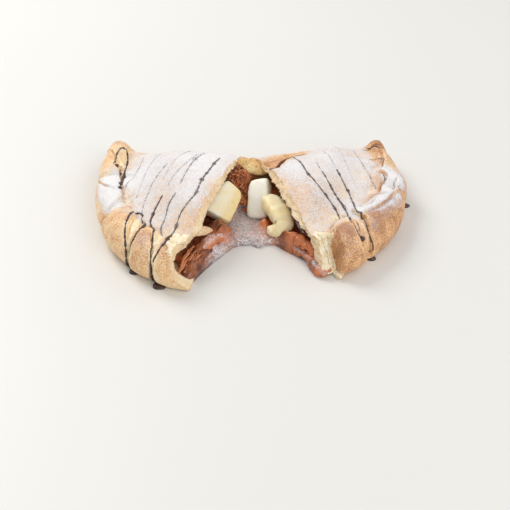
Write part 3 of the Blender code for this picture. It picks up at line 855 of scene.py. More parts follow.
    def skin(self) -> tuple[Array, Array]:
        """Return all rings of the skin, from the ear over the cut into the pocket, and their zones."""
        outer = self.outer_rings()
        outer = outer + self.ring_normals(outer) * self.relief(outer)[..., None]
        outer[..., 2] = np.maximum(outer[..., 2], 0.0)
        share = self.cut_section(outer[0])
        depth = POCKET_DEPTH * (np.linspace(0.0, 1.0, self.pocket_rows) ** 1.5) * 0.985
        pocket = np.stack([self.pocket_ring(np.full_like(share, u), share) for u in depth])
        steps = np.linspace(0.0, 1.0, self.band_rows + 1)[1:-1, None, None]
        band = blend(outer[:1], pocket[:1], steps)
        rings = np.concatenate([outer[::-1], band, pocket])
        zones = np.repeat([Zone.OUTSIDE.value, Zone.CUT.value, Zone.POCKET.value],
                          [len(outer), len(band), len(pocket)])
        grain = Grain(self.seed + 5)
        u, v, z = rings[..., 0], rings[..., 1], rings[..., 2]
        near = 1.0 - smoothstep(u, 0.0, 0.006)
        wobble = grain.at(rings * (0.0, 1.0, 1.0), 0.011) + 0.9 * grain.layers(rings * (0, 1, 1), 0.0032, 3)
        upper = smoothstep(z, 0.008, 0.014)
        shift = near * self.ragged * MM * wobble * blend(0.4, 1.0, upper)
        front = smoothstep(v, self.plan.depth - 0.026, self.plan.depth - 0.014)
        shelf = front * (1.0 - smoothstep(z, 0.0035, 0.0095))
        shift -= near * self.front_shelf * MM * shelf
        at, back = np.array(self.cut_edge, float).T * MM
        stand_back = np.interp(v, at, back) * blend(self.base_back, 1.0, smoothstep(z, 0.004, 0.013))
        inner_share = np.concatenate([np.zeros(len(outer)), steps[:, 0, 0], np.ones(len(pocket))])
        slant = self.face_slant * (1.0 - smoothstep(v, self.slant_end * MM - 0.010, self.slant_end * MM))
        stand_back = stand_back * (1.0 - slant * inner_share[:, None])
        shift += stand_back * (1.0 - smoothstep(u, 0.0, 0.026))
        crumb = (zones == Zone.CUT.value)[:, None] * grain.layers(rings, 0.0022, 3)
        rings = rings.copy()
        rings[..., 0] = u + shift + 0.55 * MM * crumb
        rings[..., 2] = np.maximum(0.0, z + 0.25 * MM * crumb)
        inner = (zones == Zone.POCKET.value)[:, None]
        rings[..., 2] += inner * smoothstep(z, 0.006, 0.010) * 0.5 * MM * grain.layers(rings, 0.006, 3)
        return rings, zones

    def paint(self, rings: Array, zones: Array) -> dict[str, Array]:
        """Return the painted numbers of each point: sugar, bake, bare and the chocolate staining that also carries
        painted shade in the creases of the folds, whose raised edges get a painted highlight.
        """
        plan, grain = self.plan, Grain(self.seed + 9)
        u, v, z = rings[..., 0], rings[..., 1], rings[..., 2]
        place, inward = plan.outline(u, v)
        across = inward / plan.rim_width(place)
        outside = (zones == Zone.OUTSIDE.value)[:, None]
        inside = (zones == Zone.POCKET.value)[:, None]
        cut = (zones == Zone.CUT.value)[:, None]
        cloud = grain.layers(rings, 0.016, 3)
        facing = np.abs(self.ring_normals(rings)[..., 2])
        flat = smoothstep(facing, 0.25, 0.85)
        dome = smoothstep(across, 0.75, 1.15)
        sugar = blend(0.20, 0.72, dome) + hills(u, v, self.sugar_spots) + 0.16 * cloud
        sugar = sugar * blend(0.25, 1.0, flat) * smoothstep(z, 0.008, 0.016)
        bake = blend(self.rim_bake, 0.42, dome) + hills(u, v, self.bake_spots) + 0.14 * cloud
        bake = bake - 0.20 * (1.0 - smoothstep(z, 0.001, 0.008))
        tuck = plan.tuck_share(place, np.clip(across, 0.0, 1.0)) * (1.0 - smoothstep(across, 1.0, 1.3))
        bake = bake - 0.34 * tuck
        stain = np.zeros(u.shape)
        for fold in self.folds:
            away, side = distance_to_line(u, v, fold.line)
            # The crease of each fold is painted darker and browner: painted shade, with some chocolate staining in
            # it.
            dark = np.exp(-(away / (fold.width * 0.9 * MM)) ** 2)
            stain = np.maximum(stain, fold.stain * dark)
            # Painted highlight: the raised edge beside a fold is painted paler.
            lit_ridge = np.exp(-((away - 1.3 * MM) / (1.2 * MM)) ** 2) * smoothstep(side, -0.5, 0.5)
            bake = bake - 0.30 * lit_ridge * min(1.0, fold.step) + 0.16 * dark
        peel = plan.peel_share(place) * smoothstep(20.5 * MM - inward, -0.002, 0.002)
        bare = np.maximum(peel, np.clip(hills(u, v, self.bare_spots), 0.0, 1.0))
        bare = smoothstep(bare + 0.25 * grain.layers(rings, 0.004, 2) * (bare > 0.02), 0.42, 0.62)
        bare = np.where(outside, bare, self.CUT_CRUMB) * np.where(inside, 0.85, 1.0)
        sugar = np.where(outside, sugar * (1.0 - 0.85 * bare), 0.10)
        low = 1.0 - smoothstep(z, 0.010, 0.020)
        stain = np.where(inside, 0.22 * low + 0.16 * cloud, stain)
        stain = np.where(cut, 0.08 * low + 0.12 * cloud, stain)
        bake = np.where(outside, bake, 0.40 + 0.2 * cloud)
        return {"sugar": sugar, "bake": np.clip(bake, 0.0, 1.0), "bare": bare, "stain": stain}

    def build(self, material: bpy.types.Material) -> bpy.types.Object:
        """Build the half's dough."""
        rings, zones = self.skin()
        paint = self.paint(rings, zones)
        count, around = rings.shape[:2]
        points = self.plan.to_part(rings).reshape(-1, 3)
        faces = grid_quads(count, around, closed=True).tolist()
        for ring in (0, count - 1):
            middle = points[ring * around:(ring + 1) * around].mean(axis=0)
            points = np.vstack([points, middle])
            hub = len(points) - 1
            start = ring * around
            faces += [[start + k, start + (k + 1) % around, hub] for k in range(around)]
        paint = {label: np.append(values.ravel(), (values[0].mean(), values[-1].mean()))
                 for label, values in paint.items()}
        piece = new_piece(self.name, points, faces, paint, material)
        dress(piece, "baked_dough", self.node)
        return piece


def make_halves(material: bpy.types.Material) -> tuple[bpy.types.Object, bpy.types.Object]:
    """Build the dough of both halves."""
    left = DoughHalf(
        name="left_dough", node="crust_left", plan=LEFT_PLAN, seed=11, front_shelf=3.6, ragged=0.8,
        cut_edge=((0, 0), (36, 0.2), (50, 2.2), (64, 3.6), (80, 4.4), (104, 5.0), (112, 5.4), (118, 7.0), (125, 9.5),
                  (132, 10.5), (142, 8.0)),
        rim_bake=0.38, base_back=0.30, face_slant=0.75, slant_end=112.0,
        folds=(
            Fold(((29, 121), (24, 131), (21, 140)), 1.0, 0.8, 1.0, 5.0),
            Fold(((21, 139), (19, 129), (21, 117)), 1.0, 0.8, 1.1, 5.0),
            Fold(((44, 97), (47, 104), (46, 113), (44, 122), (41, 131)), 1.0, 0.8, 1.1, 6.0),
            Fold(((41, 131), (40, 122), (40, 108), (43, 99)), 1.0, 0.8, 1.1, 5.0),
            Fold(((58, 80), (62, 92), (66, 98), (73, 99)), 2.4, 1.4, 1.8, 7.0),
            Fold(((87, 30), (80, 42), (73, 58), (66, 72), (63, 78)), 3.0, 1.1, 0.7, 4.0, 0.55),
            Fold(((96, 20), (88, 26), (84, 33)), 1.6, 0.9, 0.8, 4.0),
            Fold(((92, 56), (83, 66), (74, 70)), 1.2, 1.0, 0.8, 4.0),
            Fold(((60, 84), (50, 93), (36, 106), (27, 110), (20, 115)), 0.9, 1.2, 0.0, 4.0),
            Fold(((22, 117), (30, 113), (36, 117)), 0.7, 0.8, 0.7, 4.0),
        ),
        sugar_spots=(
            (17, 48, 15, 24, 0.22), (45, 35, 30, 24, 0.18), (68, 48, 12, 20, 0.22),
            (82, 58, 8, 15, 1.1), (76, 75, 9, 9, 1.2), (69, 86, 7, 5, 0.9), (78, 50, 6, 6, 0.8), (2, 84, 7, 34, -0.32), (12, 106, 14, 12, -0.28),
            (36, 84, 9, 18, -0.24), (58, 96, 10, 8, 0.10), (64, 104, 8, 6, -0.20), (89, 18, 6, 8, -0.25),
            (68, 88, 6, 8, 0.35),
        ),
        bake_spots=(
            (33, 122, 5, 9, 0.42), (14, 130, 3.5, 7, 0.55), (56, 108, 9, 8, 0.22), (70, 92, 8, 8, 0.14),
            (6, 92, 8, 22, 0.12), (100, 6, 6, 8, 0.42), (94, 30, 6, 14, 0.16), (44, 66, 14, 14, 0.10),
            (24, 126, 4, 9, -0.20), (43, 114, 4, 12, -0.20), (88, 20, 5, 6, -0.24),
        ),
        bare_spots=((11, 117, 9, 6.5, 1.0), (10.5, 129, 5.5, 9, 1.0)),
        lumps=((10, 119, 8, 4, 1.4), (96, 8, 7, 8, 1.6), (84, 56, 9, 16, 1.3), (57, 106, 9, 8, 1.2),
               (33, 122, 5, 9, 0.9), (11, 128, 6, 8, 0.8), (24, 128, 3.5, 9, -1.0), (43, 114, 3.5, 12, -1.0),
               (88, 20, 5, 6, -1.8)),
    )
    right = DoughHalf(
        name="right_dough", node="crust_right", plan=RIGHT_PLAN, seed=23, front_shelf=1.5, ragged=1.1,
        cut_edge=((0, 0), (40, 1.6), (60, 3.0), (76, 3.4), (88, 5.0), (100, 7.2), (110, 8.6), (118, 10.0),
                  (135, 13.0)),
        rim_bake=0.66, base_back=1.0, face_slant=0.80, slant_end=99.0,
        folds=(
            Fold(((46, 126), (46, 116), (47, 104), (45, 90)), 1.8, 0.9, 1.1, 6.0),
            Fold(((39, 96), (37, 107), (36, 118), (38, 124)), 1.0, 0.8, 0.6, 4.0),
            Fold(((23, 107), (30, 99), (40, 95)), 1.8, 1.2, 1.0, 5.0),
            Fold(((21, 107), (23, 116), (22, 124), (24, 130)), 1.3, 1.0, 0.0, 5.0),
            Fold(((0, 44), (6, 43), (9, 38), (13, 35), (19, 32), (26, 29), (34, 26)), 2.4, 1.5, 0.0, 4.0, 1.0),
            Fold(((50, 88), (60, 84), (70, 75), (76, 64)), 2.0, 1.2, 1.6, 6.0),
            Fold(((84, 72), (77, 81), (68, 90), (58, 96), (50, 99)), 1.6, 1.0, 1.6, 5.0),
            Fold(((56, 92), (64, 85), (72, 80)), 1.3, 0.8, 1.0, 4.0),
            Fold(((72, 70), (80, 62), (84, 54), (82, 46)), 1.8, 1.0, 1.2, 5.0, 0.3),
            Fold(((78, 76), (84, 67), (89, 60)), 1.4, 0.8, 0.9, 4.0, 0.3),
            Fold(((84, 44), (90, 34), (93, 24)), 1.4, 0.9, 0.9, 4.0),
            Fold(((97, 16), (92, 12), (86, 9)), 1.3, 0.8, 0.6, 4.0, 0.7),
            Fold(((12, 111), (14, 116), (16, 123)), 1.6, 0.8, 0.0, 4.0, 0.55),
        ),
        sugar_spots=(
            (20, 42, 14, 12, 0.20), (58, 40, 24, 22, 0.12), (54, 94, 9, 4.5, 1.1), (66, 87, 9, 5.5, 1.2),
            (77, 75, 9, 7, 1.2), (87, 61, 7, 9, 1.1), (86, 44, 7, 12, 0.7), (46, 94, 5, 10, 0.50), (14, 86, 18, 22, -0.26), (4, 66, 6, 26, -0.14),
            (74, 42, 10, 12, -0.16), (94, 12, 8, 10, -0.35), (36, 74, 14, 14, -0.16), (66, 74, 8, 8, -0.15),
            (4, 33, 7, 10, -1.2), (12, 24, 9, 9, -1.0), (22, 20, 9, 7, -1.0), (31, 17, 7, 6, -0.8),
            (10, 37, 4, 4, -1.0), (17, 33, 4, 3, -0.8),
        ),
        # The browner spots at (5, 32), (14, 24) and (25, 20), in the dented valley behind the lip, are partly
        # painted shade.
        bake_spots=(
            (30, 114, 6, 9, 0.42), (54, 108, 8, 8, 0.34), (72, 92, 12, 8, 0.34), (88, 70, 6, 10, 0.30),
            (96, 12, 7, 10, 0.46), (20, 80, 14, 18, 0.12), (5, 32, 9, 9, 0.55), (14, 24, 8, 7, 0.75),
            (25, 20, 10, 7, 0.62), (62, 62, 8, 8, 0.16), (28, 100, 7, 3, -0.30), (40, 110, 4, 10, -0.20),
            (24, 113, 4, 9, 0.30), (62, 100, 14, 9, 0.20),
        ),
        bare_spots=((13, 113, 11, 5, 1.0), (32, 98, 6, 2.5, 0.8)),
        lumps=((30, 110, 7, 9, 1.6), (95, 9, 6, 7, 1.2), (62, 85, 10, 4, 1.3), (78, 67, 8, 6, 1.3),
               (54, 106, 8, 8, 0.8), (5, 36, 6, 6, -4.2), (14, 17, 9, 6, -2.4), (27, 15, 9, 6, -2.6)),
    )
    return left.build(material), right.build(material)


@dataclass
class Tube:
    """A rounded body lofted along a spine, closed at both ends."""

    name: str
    stations: tuple              # (x, y, z, half width, half thickness), millimetres
    squareness: float = 0.3      # 0 is an ellipse, 1 nearly a box
    around: int = 56
    along: int = 60
    lean: tuple[float, float, float] = (1.0, 0.0, 0.0)   # direction of the width

    def rings(self) -> Array:
        """Return the rings of points along the spine, in the part's frame."""
        table = np.array(self.stations, float) * MM
        knots = np.linspace(0.0, 1.0, len(table))
        t = 0.5 - 0.5 * np.cos(np.linspace(0.0, pi, self.along))
        spine = smooth_curve(knots, table, t)
        centre, half_width, half_thick = spine[:, :3], spine[:, 3], spine[:, 4]
        along = np.gradient(centre, axis=0)
        along /= np.linalg.norm(along, axis=-1, keepdims=True)
        lean = np.array(self.lean)
        wide = lean - along * (along @ lean)[:, None]
        wide /= np.linalg.norm(wide, axis=-1, keepdims=True)
        thick = np.cross(along, wide)
        end = np.minimum(t, 1.0 - t) * np.linalg.norm(np.diff(centre, axis=0), axis=-1).sum()
        cap = quarter_round(end / (0.55 * np.maximum(half_thick, 1e-5)))
        turn = np.linspace(0.0, 2 * pi, self.around, endpoint=False)
        power = 1.0 / (1.0 + 1.5 * self.squareness)
        across = np.sign(np.cos(turn)) * np.abs(np.cos(turn)) ** power
        up = np.sign(np.sin(turn)) * np.abs(np.sin(turn)) ** power
        reach = cap[:, None, None]
        return (centre[:, None] + reach * (wide[:, None] * (half_width[:, None] * across)[..., None]
                                           + thick[:, None] * (half_thick[:, None] * up)[..., None]))


def smooth_curve(knots: Array, values: Array, at: Array) -> Array:
    """Pass a smooth curve through values given at even knots.

    Args:
        knots: rising numbers.
        values: (n, columns) values at the knots.
        at: where the curve is wanted.

    Returns:
        (len(at), columns) values on the curve.
    """
    slopes = np.gradient(values, knots, axis=0)
    index = np.clip(np.searchsorted(knots, at, side="right") - 1, 0, len(knots) - 2)
    gap = (knots[index + 1] - knots[index])[:, None]
    t = ((at - knots[index])[:, None]) / gap
    h00 = 2 * t ** 3 - 3 * t ** 2 + 1
    h10 = t ** 3 - 2 * t ** 2 + t
    h01 = -2 * t ** 3 + 3 * t ** 2
    h11 = t ** 3 - t ** 2
    return (h00 * values[index] + h10 * gap * slopes[index]
            + h01 * values[index + 1] + h11 * gap * slopes[index + 1])


@dataclass
class BananaPiece:
    """One piece of banana flesh."""

    body: Tube
    node: str
    ripeness: float              # 0 is white, 1 is yellow
    seed: int
    rough: float = 0.35          # unevenness, millimetres
    grooves: tuple[float, ...] = ()   # places along the spine of shallow slice marks
    browned: float = 0.0         # how much riper its right side is

    def build(self, material: bpy.types.Material) -> bpy.types.Object:
        """Build the piece."""
        grain = Grain(self.seed)
        rings = self.body.rings()
        centre = rings.mean(axis=1, keepdims=True)
        out = rings - centre
        out /= np.maximum(np.linalg.norm(out, axis=-1, keepdims=True), 1e-9)
        bump = self.rough * MM * (grain.layers(rings, 0.005, 3) + 0.5 * grain.at(rings, 0.012))
        t = np.linspace(0.0, 1.0, len(rings))
        for place in self.grooves:
            bump = bump - (0.7 * MM * np.exp(-((t - place) / 0.018) ** 2))[:, None]
        rings = rings + out * bump[..., None]
        count, around = rings.shape[:2]
        ripe = np.clip(self.ripeness + 0.35 * grain.layers(rings, 0.008, 2), 0.0, 1.0)
        ripe = np.clip(ripe + self.browned * smoothstep(out[..., 0], 0.35, 0.95), 0.0, 1.0)
        faces = grid_quads(count, around, closed=True).tolist()
        faces += [list(range(around)), list(range((count - 1) * around, count * around))]
        piece = new_piece(self.body.name, rings.reshape(-1, 3), faces, {"ripe": ripe}, material)
        dress(piece, "banana_flesh", self.node)
        return piece


def make_bananas(material: bpy.types.Material) -> list[bpy.types.Object]:
    """Build the three pieces of banana."""
    chunk = Tube("banana_right_chunk", (
        (4.6, -4.0, 5.0, 7.6, 4.6), (4.8, -0.4, 11.0, 7.8, 5.2), (5.2, 4.0, 18.0, 7.6, 5.2),
        (5.4, 8.4, 24.0, 7.2, 4.8), (5.0, 11.4, 27.2, 5.6, 3.4),
    ), 0.6, lean=(0.86, -0.5, 0.0))
    curl = Tube("banana_right_slice", (
        (9.5, -1.0, 18.5, 5.4, 5.0), (14.2, -9.0, 19.6, 6.6, 6.0), (19.0, -18.0, 18.2, 7.2, 6.2),
        (21.4, -23.5, 14.8, 6.6, 5.6), (18.4, -25.4, 11.4, 5.0, 4.8), (14.6, -24.2, 9.0, 3.9, 4.0),
        (11.4, -21.4, 8.0, 2.9, 3.0),
    ), 0.3)
    slab = Tube("banana_left_chunk", (
        (-12.4, 7.8, 23.0, 5.6, 3.8), (-15.0, 4.0, 21.2, 8.2, 4.4), (-19.2, -3.4, 16.6, 9.4, 4.6),
        (-22.8, -9.8, 12.8, 9.8, 4.6), (-24.2, -13.0, 11.0, 8.6, 4.0),
    ), 0.9, lean=(0.87, -0.07, -0.49))
    pieces = [
        BananaPiece(chunk, "banana_right", 0.0, 31, 0.34, (), 0.35),
        BananaPiece(curl, "banana_slice", 0.75, 32, 0.60, (0.34, 0.41, 0.48)),
        BananaPiece(slab, "banana_left", 0.55, 33, 0.30, (), 0.9),
    ]
    return [piece.build(material) for piece in pieces]


@dataclass
class ChocolateFilling:
    """The chocolate: one body through both pockets and the pool between them."""

    pocket_columns: int = 44
    pool_columns: int = 150
    rows: int = 250
    pocket_share: float = 0.86
    bow: float = 0.0255          # how far the pool's front edge curves in
    mounds: tuple = (            # (x, y, radius in x, radius in y, height), millimetres
        (-10.5, 20.0, 10.0, 8.5, 20.0), (-1.5, 21.5, 5.0, 6.0, 14.0), (-24.0, -24.5, 10.0, 9.0, 8.5),
        (-16.5, -23.0, 6.0, 7.0, 3.5), (-27.5, -42.0, 6.5, 5.5, 8.5), (-32.5, -50.0, 6.0, 6.0, 8.5),
        (-38.0, -66.0, 6.0, 9.0, 6.0), (8.5, -15.5, 5.0, 7.0, 8.5), (27.0, -36.5, 8.0, 6.5, 11.0),
    )
    edge_waves: tuple = ((0.42, 0.10, 3.0), (0.66, 0.050, -4.0), (0.84, 0.06, 2.0))

    def open_height(self, points: Array) -> Array:
        """Return the height of the chocolate's surface at (x, y, 0) points."""
        x, y = points[..., 0], points[..., 1]
        grain = Grain(41)
        height = POOL_LEVEL + MM * hills(x, y, self.mounds)
        clots = hills(x, y, ((-8, 21, 11, 9, 1.0), (-38, -66, 8, 12, 1.0), (-31, -50, 7, 7, 0.5),
                             (34, -46, 7, 6, 0.5)))
        ropes = grain.ridges(points * (1.0, 0.45, 1.0), 0.0032) - 0.6
        lumps = grain.layers(points + 0.3, 0.0042, 3)
        height += np.clip(clots, 0.0, 1.0) * MM * (2.2 * lumps + 1.6 * ropes)
        calm = 1.0 - np.clip(clots, 0.0, 0.8)
        height += calm * MM * (0.45 * grain.at(points, 0.011) + 0.16 * grain.layers(points, 0.0032, 2))
        return height

    def level(self, plan: Plan, u: Array, v: Array, spots: Array) -> Array:
        """Return the height of the filling where it lies in a pocket: full further in."""
        floor = BASE_DOUGH + 0.6 * MM
        limit = floor + 0.90 * (plan.ceiling(u, v) - floor)
        height = blend(self.open_height(spots) + 3.0 * MM, limit, smoothstep(u, 0.010, 0.032))
        return np.maximum(floor + 1.0 * MM, np.minimum(height, limit))

    def pocket_side(self, plan: Plan, row: Array) -> Array:
        """Return the upper points of the columns in one pocket, from the cut inwards."""
        share = np.linspace(0.0, 1.0, self.pocket_columns) ** 1.4
        u = (POCKET_DEPTH * self.pocket_share * share)[:, None] + 0.0 * row
        trim = 0.15 * (plan is RIGHT_PLAN) * (1.0 - smoothstep(u, 0.0, 0.020))
        v = blend(POCKET_BACK, plan.pocket_end(u) * (1.0 - trim), row)
        spots = plan.to_part(np.stack([u, v, 0.0 * v], axis=-1))
        height = self.level(plan, u, v, spots)
        edge = blend(quarter_round((1.0 - row) / 0.10 + 0.06), 1.0, smoothstep(u, 0.008, 0.022))
        least = BASE_DOUGH + 1.2 * MM
        if plan is RIGHT_PLAN:
            least = blend(0.3 * MM, least, smoothstep(u, 0.005, 0.014))
        spots[..., 2] = np.maximum(least, height * edge)
        return spots

    def build(self, material: bpy.types.Material) -> bpy.types.Object:
        """Build the filling as an upper and a lower sheet joined at their border."""
        row = blend(0.06, 0.985, np.linspace(0.0, 1.0, self.rows))
        left = self.pocket_side(LEFT_PLAN, row)[::-1]
        right = self.pocket_side(RIGHT_PLAN, row)
        share = np.linspace(0.0, 1.0, self.pool_columns + 2)[1:-1, None]
        foot = blend(left[-1][None], right[0][None], share[..., None])
        waves = sum(size * MM * np.exp(-((share - at) / wide) ** 2) for at, wide, size in self.edge_waves)
        foot[..., 1] += (self.bow * 4.0 * share * (1.0 - share) + waves) * row ** 1.6
        near = np.minimum(share, 1.0 - share)
        side_top = np.where(share < 0.5, left[-1, :, 2], right[0, :, 2])
        flat = foot * (1.0, 1.0, 0.0)
        height = blend(side_top, self.open_height(flat), smoothstep(near, 0.0, 0.22))
        edge = quarter_round((1.0 - row) / 0.05 + 0.06)
        edge = blend(1.0, edge, smoothstep(near, 0.0, 0.05))
        pool = np.concatenate([foot[..., :2], (height * edge)[..., None]], axis=-1)
        upper = np.concatenate([left, pool, right])
        lower = upper.copy()
        inward = POCKET_DEPTH * self.pocket_share * np.linspace(0.0, 1.0, self.pocket_columns) ** 1.4
        under = (BASE_DOUGH + 0.5 * MM) * smoothstep(inward, 0.004, 0.014)
        lower[..., 2] = np.concatenate([under[::-1], np.zeros(len(pool)), under])[:, None]
        columns, rows = upper.shape[:2]
        count = columns * rows
        faces = grid_quads(columns, rows, closed=False)
        rim = self.border(columns, rows)
        walls = np.stack([rim, np.roll(rim, -1), np.roll(rim, -1) + count, rim + count], axis=-1)
        paint = self.paint(upper, len(left), len(pool))
        every = np.concatenate([upper.reshape(-1, 3), lower.reshape(-1, 3)])
        all_faces = np.concatenate([faces, faces + count, walls]).tolist()
        piece = new_piece("chocolate", every, all_faces, paint, material)
        thin_base(piece, count)
        dress(piece, "chocolate", "chocolate_filling")
        return piece

    @staticmethod
    def border(columns: int, rows: int) -> Array:
        """Return the indices round the border of a grid."""
        first = np.arange(rows)
        last = (columns - 1) * rows + np.arange(rows)[::-1]
        far = (np.arange(1, columns - 1)) * rows + rows - 1
        near = (np.arange(1, columns - 1) * rows)[::-1]
        return np.concatenate([first, far, last, near])

    def paint(self, upper: Array, start: int, width: int) -> dict[str, Array]:
        """Return the painted numbers of the upper and the lower sheet."""
        x, y, z = upper[..., 0], upper[..., 1], upper[..., 2]
        grain = Grain(47)
        pool = np.zeros(x.shape)
        share = np.linspace(0.0, 1.0, width)[:, None]
        pool[start:start + width] = smoothstep(np.minimum(share, 1.0 - share), 0.02, 0.28)
        sugar = pool * (1.0 - smoothstep(z, 0.008, 0.014)) * 0.66
        sugar += hills(x, y, ((-4, -6, 6, 12, 0.12), (28, -37, 9, 5, 0.12), (-28, -43, 6, 5, 0.34),
                              (-18, -26, 7, 8, -0.50), (9, -16, 5, 7, -0.5), (-9, 22, 11, 10, -0.3)))
        sugar += 0.05 * grain.layers(upper, 0.005, 2) * (sugar > 0.05)
        milk = 0.45 + 0.3 * grain.layers(upper, 0.010, 2)
        # The hill of -0.9 at (-27, -20) is painted shade: the dark hollow under the banana and the crust.
        milk += hills(x, y, ((-18, -28, 8, 11, 0.12), (28, -42, 10, 10, 0.65), (-9, 22, 10, 10, 0.25),
                             (-38, -66, 8, 12, -0.15), (-27, -20, 5, 5, -0.9), (9, -16, 6, 7, 0.55)))
        layers = {"sugar": np.clip(sugar, 0.0, 1.0), "milk": np.clip(milk, 0.0, 1.0)}
        return {label: np.concatenate([values.ravel(), values.ravel()]) for label, values in layers.items()}


def thin_base(piece: bpy.types.Object, first: int) -> None:
    """Dissolve the flat lower sheet of a piece, whose points start at an index."""
    work = bmesh.new()
    work.from_mesh(piece.data)
    work.verts.ensure_lookup_table()
    under = [face for face in work.faces if all(vert.index >= first for vert in face.verts)]
    bmesh.ops.dissolve_limit(work, angle_limit=radians(1.0), use_dissolve_boundaries=False,
                             verts=list({vert for face in under for vert in face.verts}),
                             edges=list({edge for face in under for edge in face.edges}))
    work.to_mesh(piece.data)
    work.free()


@dataclass
class DoughScrap:
    """A loose-looking end of dough: a rolled strip, lofted like a tube and roughened."""

    body: Tube
    seed: int
    rough: float                 # unevenness, millimetres
    bake: tuple[float, float]    # at its start and its end
    bare: float
    sugar: float = 0.0

    def build(self, material: bpy.types.Material) -> bpy.types.Object:
        """Build the strip."""
        grain = Grain(self.seed)
        rings = self.body.rings()
        out = rings - rings.mean(axis=1, keepdims=True)
        out /= np.maximum(np.linalg.norm(out, axis=-1, keepdims=True), 1e-9)
        bump = 1.2 * grain.at(rings, 0.0065) + 0.8 * grain.layers(rings, 0.0030, 3)
        rings = rings + out * (self.rough * MM * bump)[..., None]
        count, around = rings.shape[:2]
        t = np.linspace(0.0, 1.0, count)[:, None] + np.zeros((1, around))
        upward = smoothstep(out[..., 2], 0.1, 0.9)
        faces = grid_quads(count, around, closed=True).tolist()
        faces += [list(range(around)), list(range((count - 1) * around, count * around))]
        paint = {
            "bake": np.clip(blend(*self.bake, t) + 0.25 * upward + 0.15 * grain.at(rings, 0.005), 0.0, 1.0),
            "bare": self.bare + 0.0 * t, "sugar": self.sugar * upward, "stain": 0.0 * t,
        }
        piece = new_piece(self.body.name, rings.reshape(-1, 3), faces, paint, material)
        dress(piece, "baked_dough")
        return piece


def make_scraps(dough: bpy.types.Material, lip_dough: bpy.types.Material) -> None:
    """Build the curled lip at the back of the cut, and the flap under the left crust's edge."""
    lip = Tube("back_lip", (
        (-10.0, 25.4, 31.6, 1.6, 1.4), (-7.4, 25.8, 31.6, 3.6, 2.4), (-3.0, 24.6, 30.8, 5.4, 3.0),
        (1.5, 23.6, 30.0, 6.0, 3.0), (6.0, 23.2, 29.2, 5.2, 2.6), (10.5, 23.4, 29.4, 3.6, 2.0),
    ), 0.15, lean=(0.0, 0.80, 0.60))
    flap = Tube("yellow_flap", (
        (-36.5, -43.6, 20.8, 3.2, 1.2), (-32.5, -40.4, 19.2, 3.0, 1.0), (-28.6, -37.6, 17.6, 2.2, 0.8),
        (-25.4, -35.4, 16.2, 0.6, 0.4),
    ), 0.2, around=32, along=30, lean=(0.3, -0.2, -0.9))
    DoughScrap(lip, 53, 0.85, (0.10, 0.42), 0.0).build(lip_dough)
    DoughScrap(flap, 54, 0.40, (0.45, 0.45), 0.30).build(dough)


@dataclass
class ChocolateMass:
    """A thick dribble of chocolate, lofted like a tube and lumpy."""

    body: Tube
    seed: int
    rough: float
    milk: float
    sugar: float

    def build(self, material: bpy.types.Material) -> bpy.types.Object:
        """Build the dribble."""
        grain = Grain(self.seed)
        rings = self.body.rings()
        out = rings - rings.mean(axis=1, keepdims=True)
        out /= np.maximum(np.linalg.norm(out, axis=-1, keepdims=True), 1e-9)
        bump = 1.4 * grain.at(rings, 0.0060) + 0.8 * grain.layers(rings, 0.0026, 2)
        rings = rings + out * (self.rough * MM * bump)[..., None]
        rings[..., 2] = np.maximum(rings[..., 2], 0.0)
        count, around = rings.shape[:2]
        faces = grid_quads(count, around, closed=True).tolist()
        faces += [list(range(around)), list(range((count - 1) * around, count * around))]
        paint = {"milk": np.clip(self.milk + 0.35 * grain.layers(rings, 0.007, 2), 0.0, 1.0),
                 "sugar": self.sugar * smoothstep(out[..., 2], 0.0, 0.8)}
        piece = new_piece(self.body.name, rings.reshape(-1, 3), faces, paint, material)
        dress(piece, "chocolate")
        return piece


def make_dribbles(material: bpy.types.Material) -> None:
    """Build the dribbles in front of the torn slope and under the strings on the left."""
    dribbles = (
        ChocolateMass(Tube("upper_dribble", (
            (29.0, -36.5, 12.0, 3.8, 3.6), (35.0, -40.5, 10.5, 3.4, 3.2), (40.5, -47.0, 8.5, 3.0, 2.8),
            (45.0, -53.0, 6.8, 2.7, 2.5), (48.5, -58.5, 4.6, 2.6, 2.4), (49.6, -61.5, 2.6, 1.8, 1.6),
        ), 0.2, lean=(0.5, -0.8, 0.0)), 81, 0.8, 0.80, 0.12),
        ChocolateMass(Tube("lower_dribble", (
            (28.0, -36.0, 3.0, 2.8, 2.8), (35.0, -42.5, 3.2, 3.2, 2.8), (40.5, -51.0, 3.4, 3.6, 3.0),
            (44.0, -57.5, 3.4, 4.4, 3.2), (46.2, -61.4, 2.6, 3.8, 2.6), (47.2, -63.8, 1.6, 2.0, 1.4),
        ), 0.2, lean=(1.0, 0.0, 0.0)), 82, 0.9, 0.50, 0.40),
        ChocolateMass(Tube("pink_lump", (
            (-20.0, -33.0, 8.5, 2.6, 2.4), (-24.0, -38.0, 11.5, 4.4, 3.4), (-29.0, -44.0, 11.5, 4.6, 3.6),
            (-34.0, -50.0, 8.0, 3.2, 2.8),
        ), 0.4, lean=(0.6, -0.5, 0.6)), 84, 0.9, 1.0, 0.46),
        ChocolateMass(Tube("left_dribble", (
            (-28.0, -42.0, 6.0, 5.0, 4.5), (-33.0, -52.0, 6.5, 5.2, 4.8), (-37.0, -61.0, 6.0, 5.0, 4.6),
            (-40.0, -68.0, 5.0, 4.2, 3.8), (-43.0, -74.0, 3.6, 2.8, 2.6),
        ), 0.2), 83, 0.9, 0.30, 0.10),
    )
    for dribble in dribbles:
        dribble.build(material)


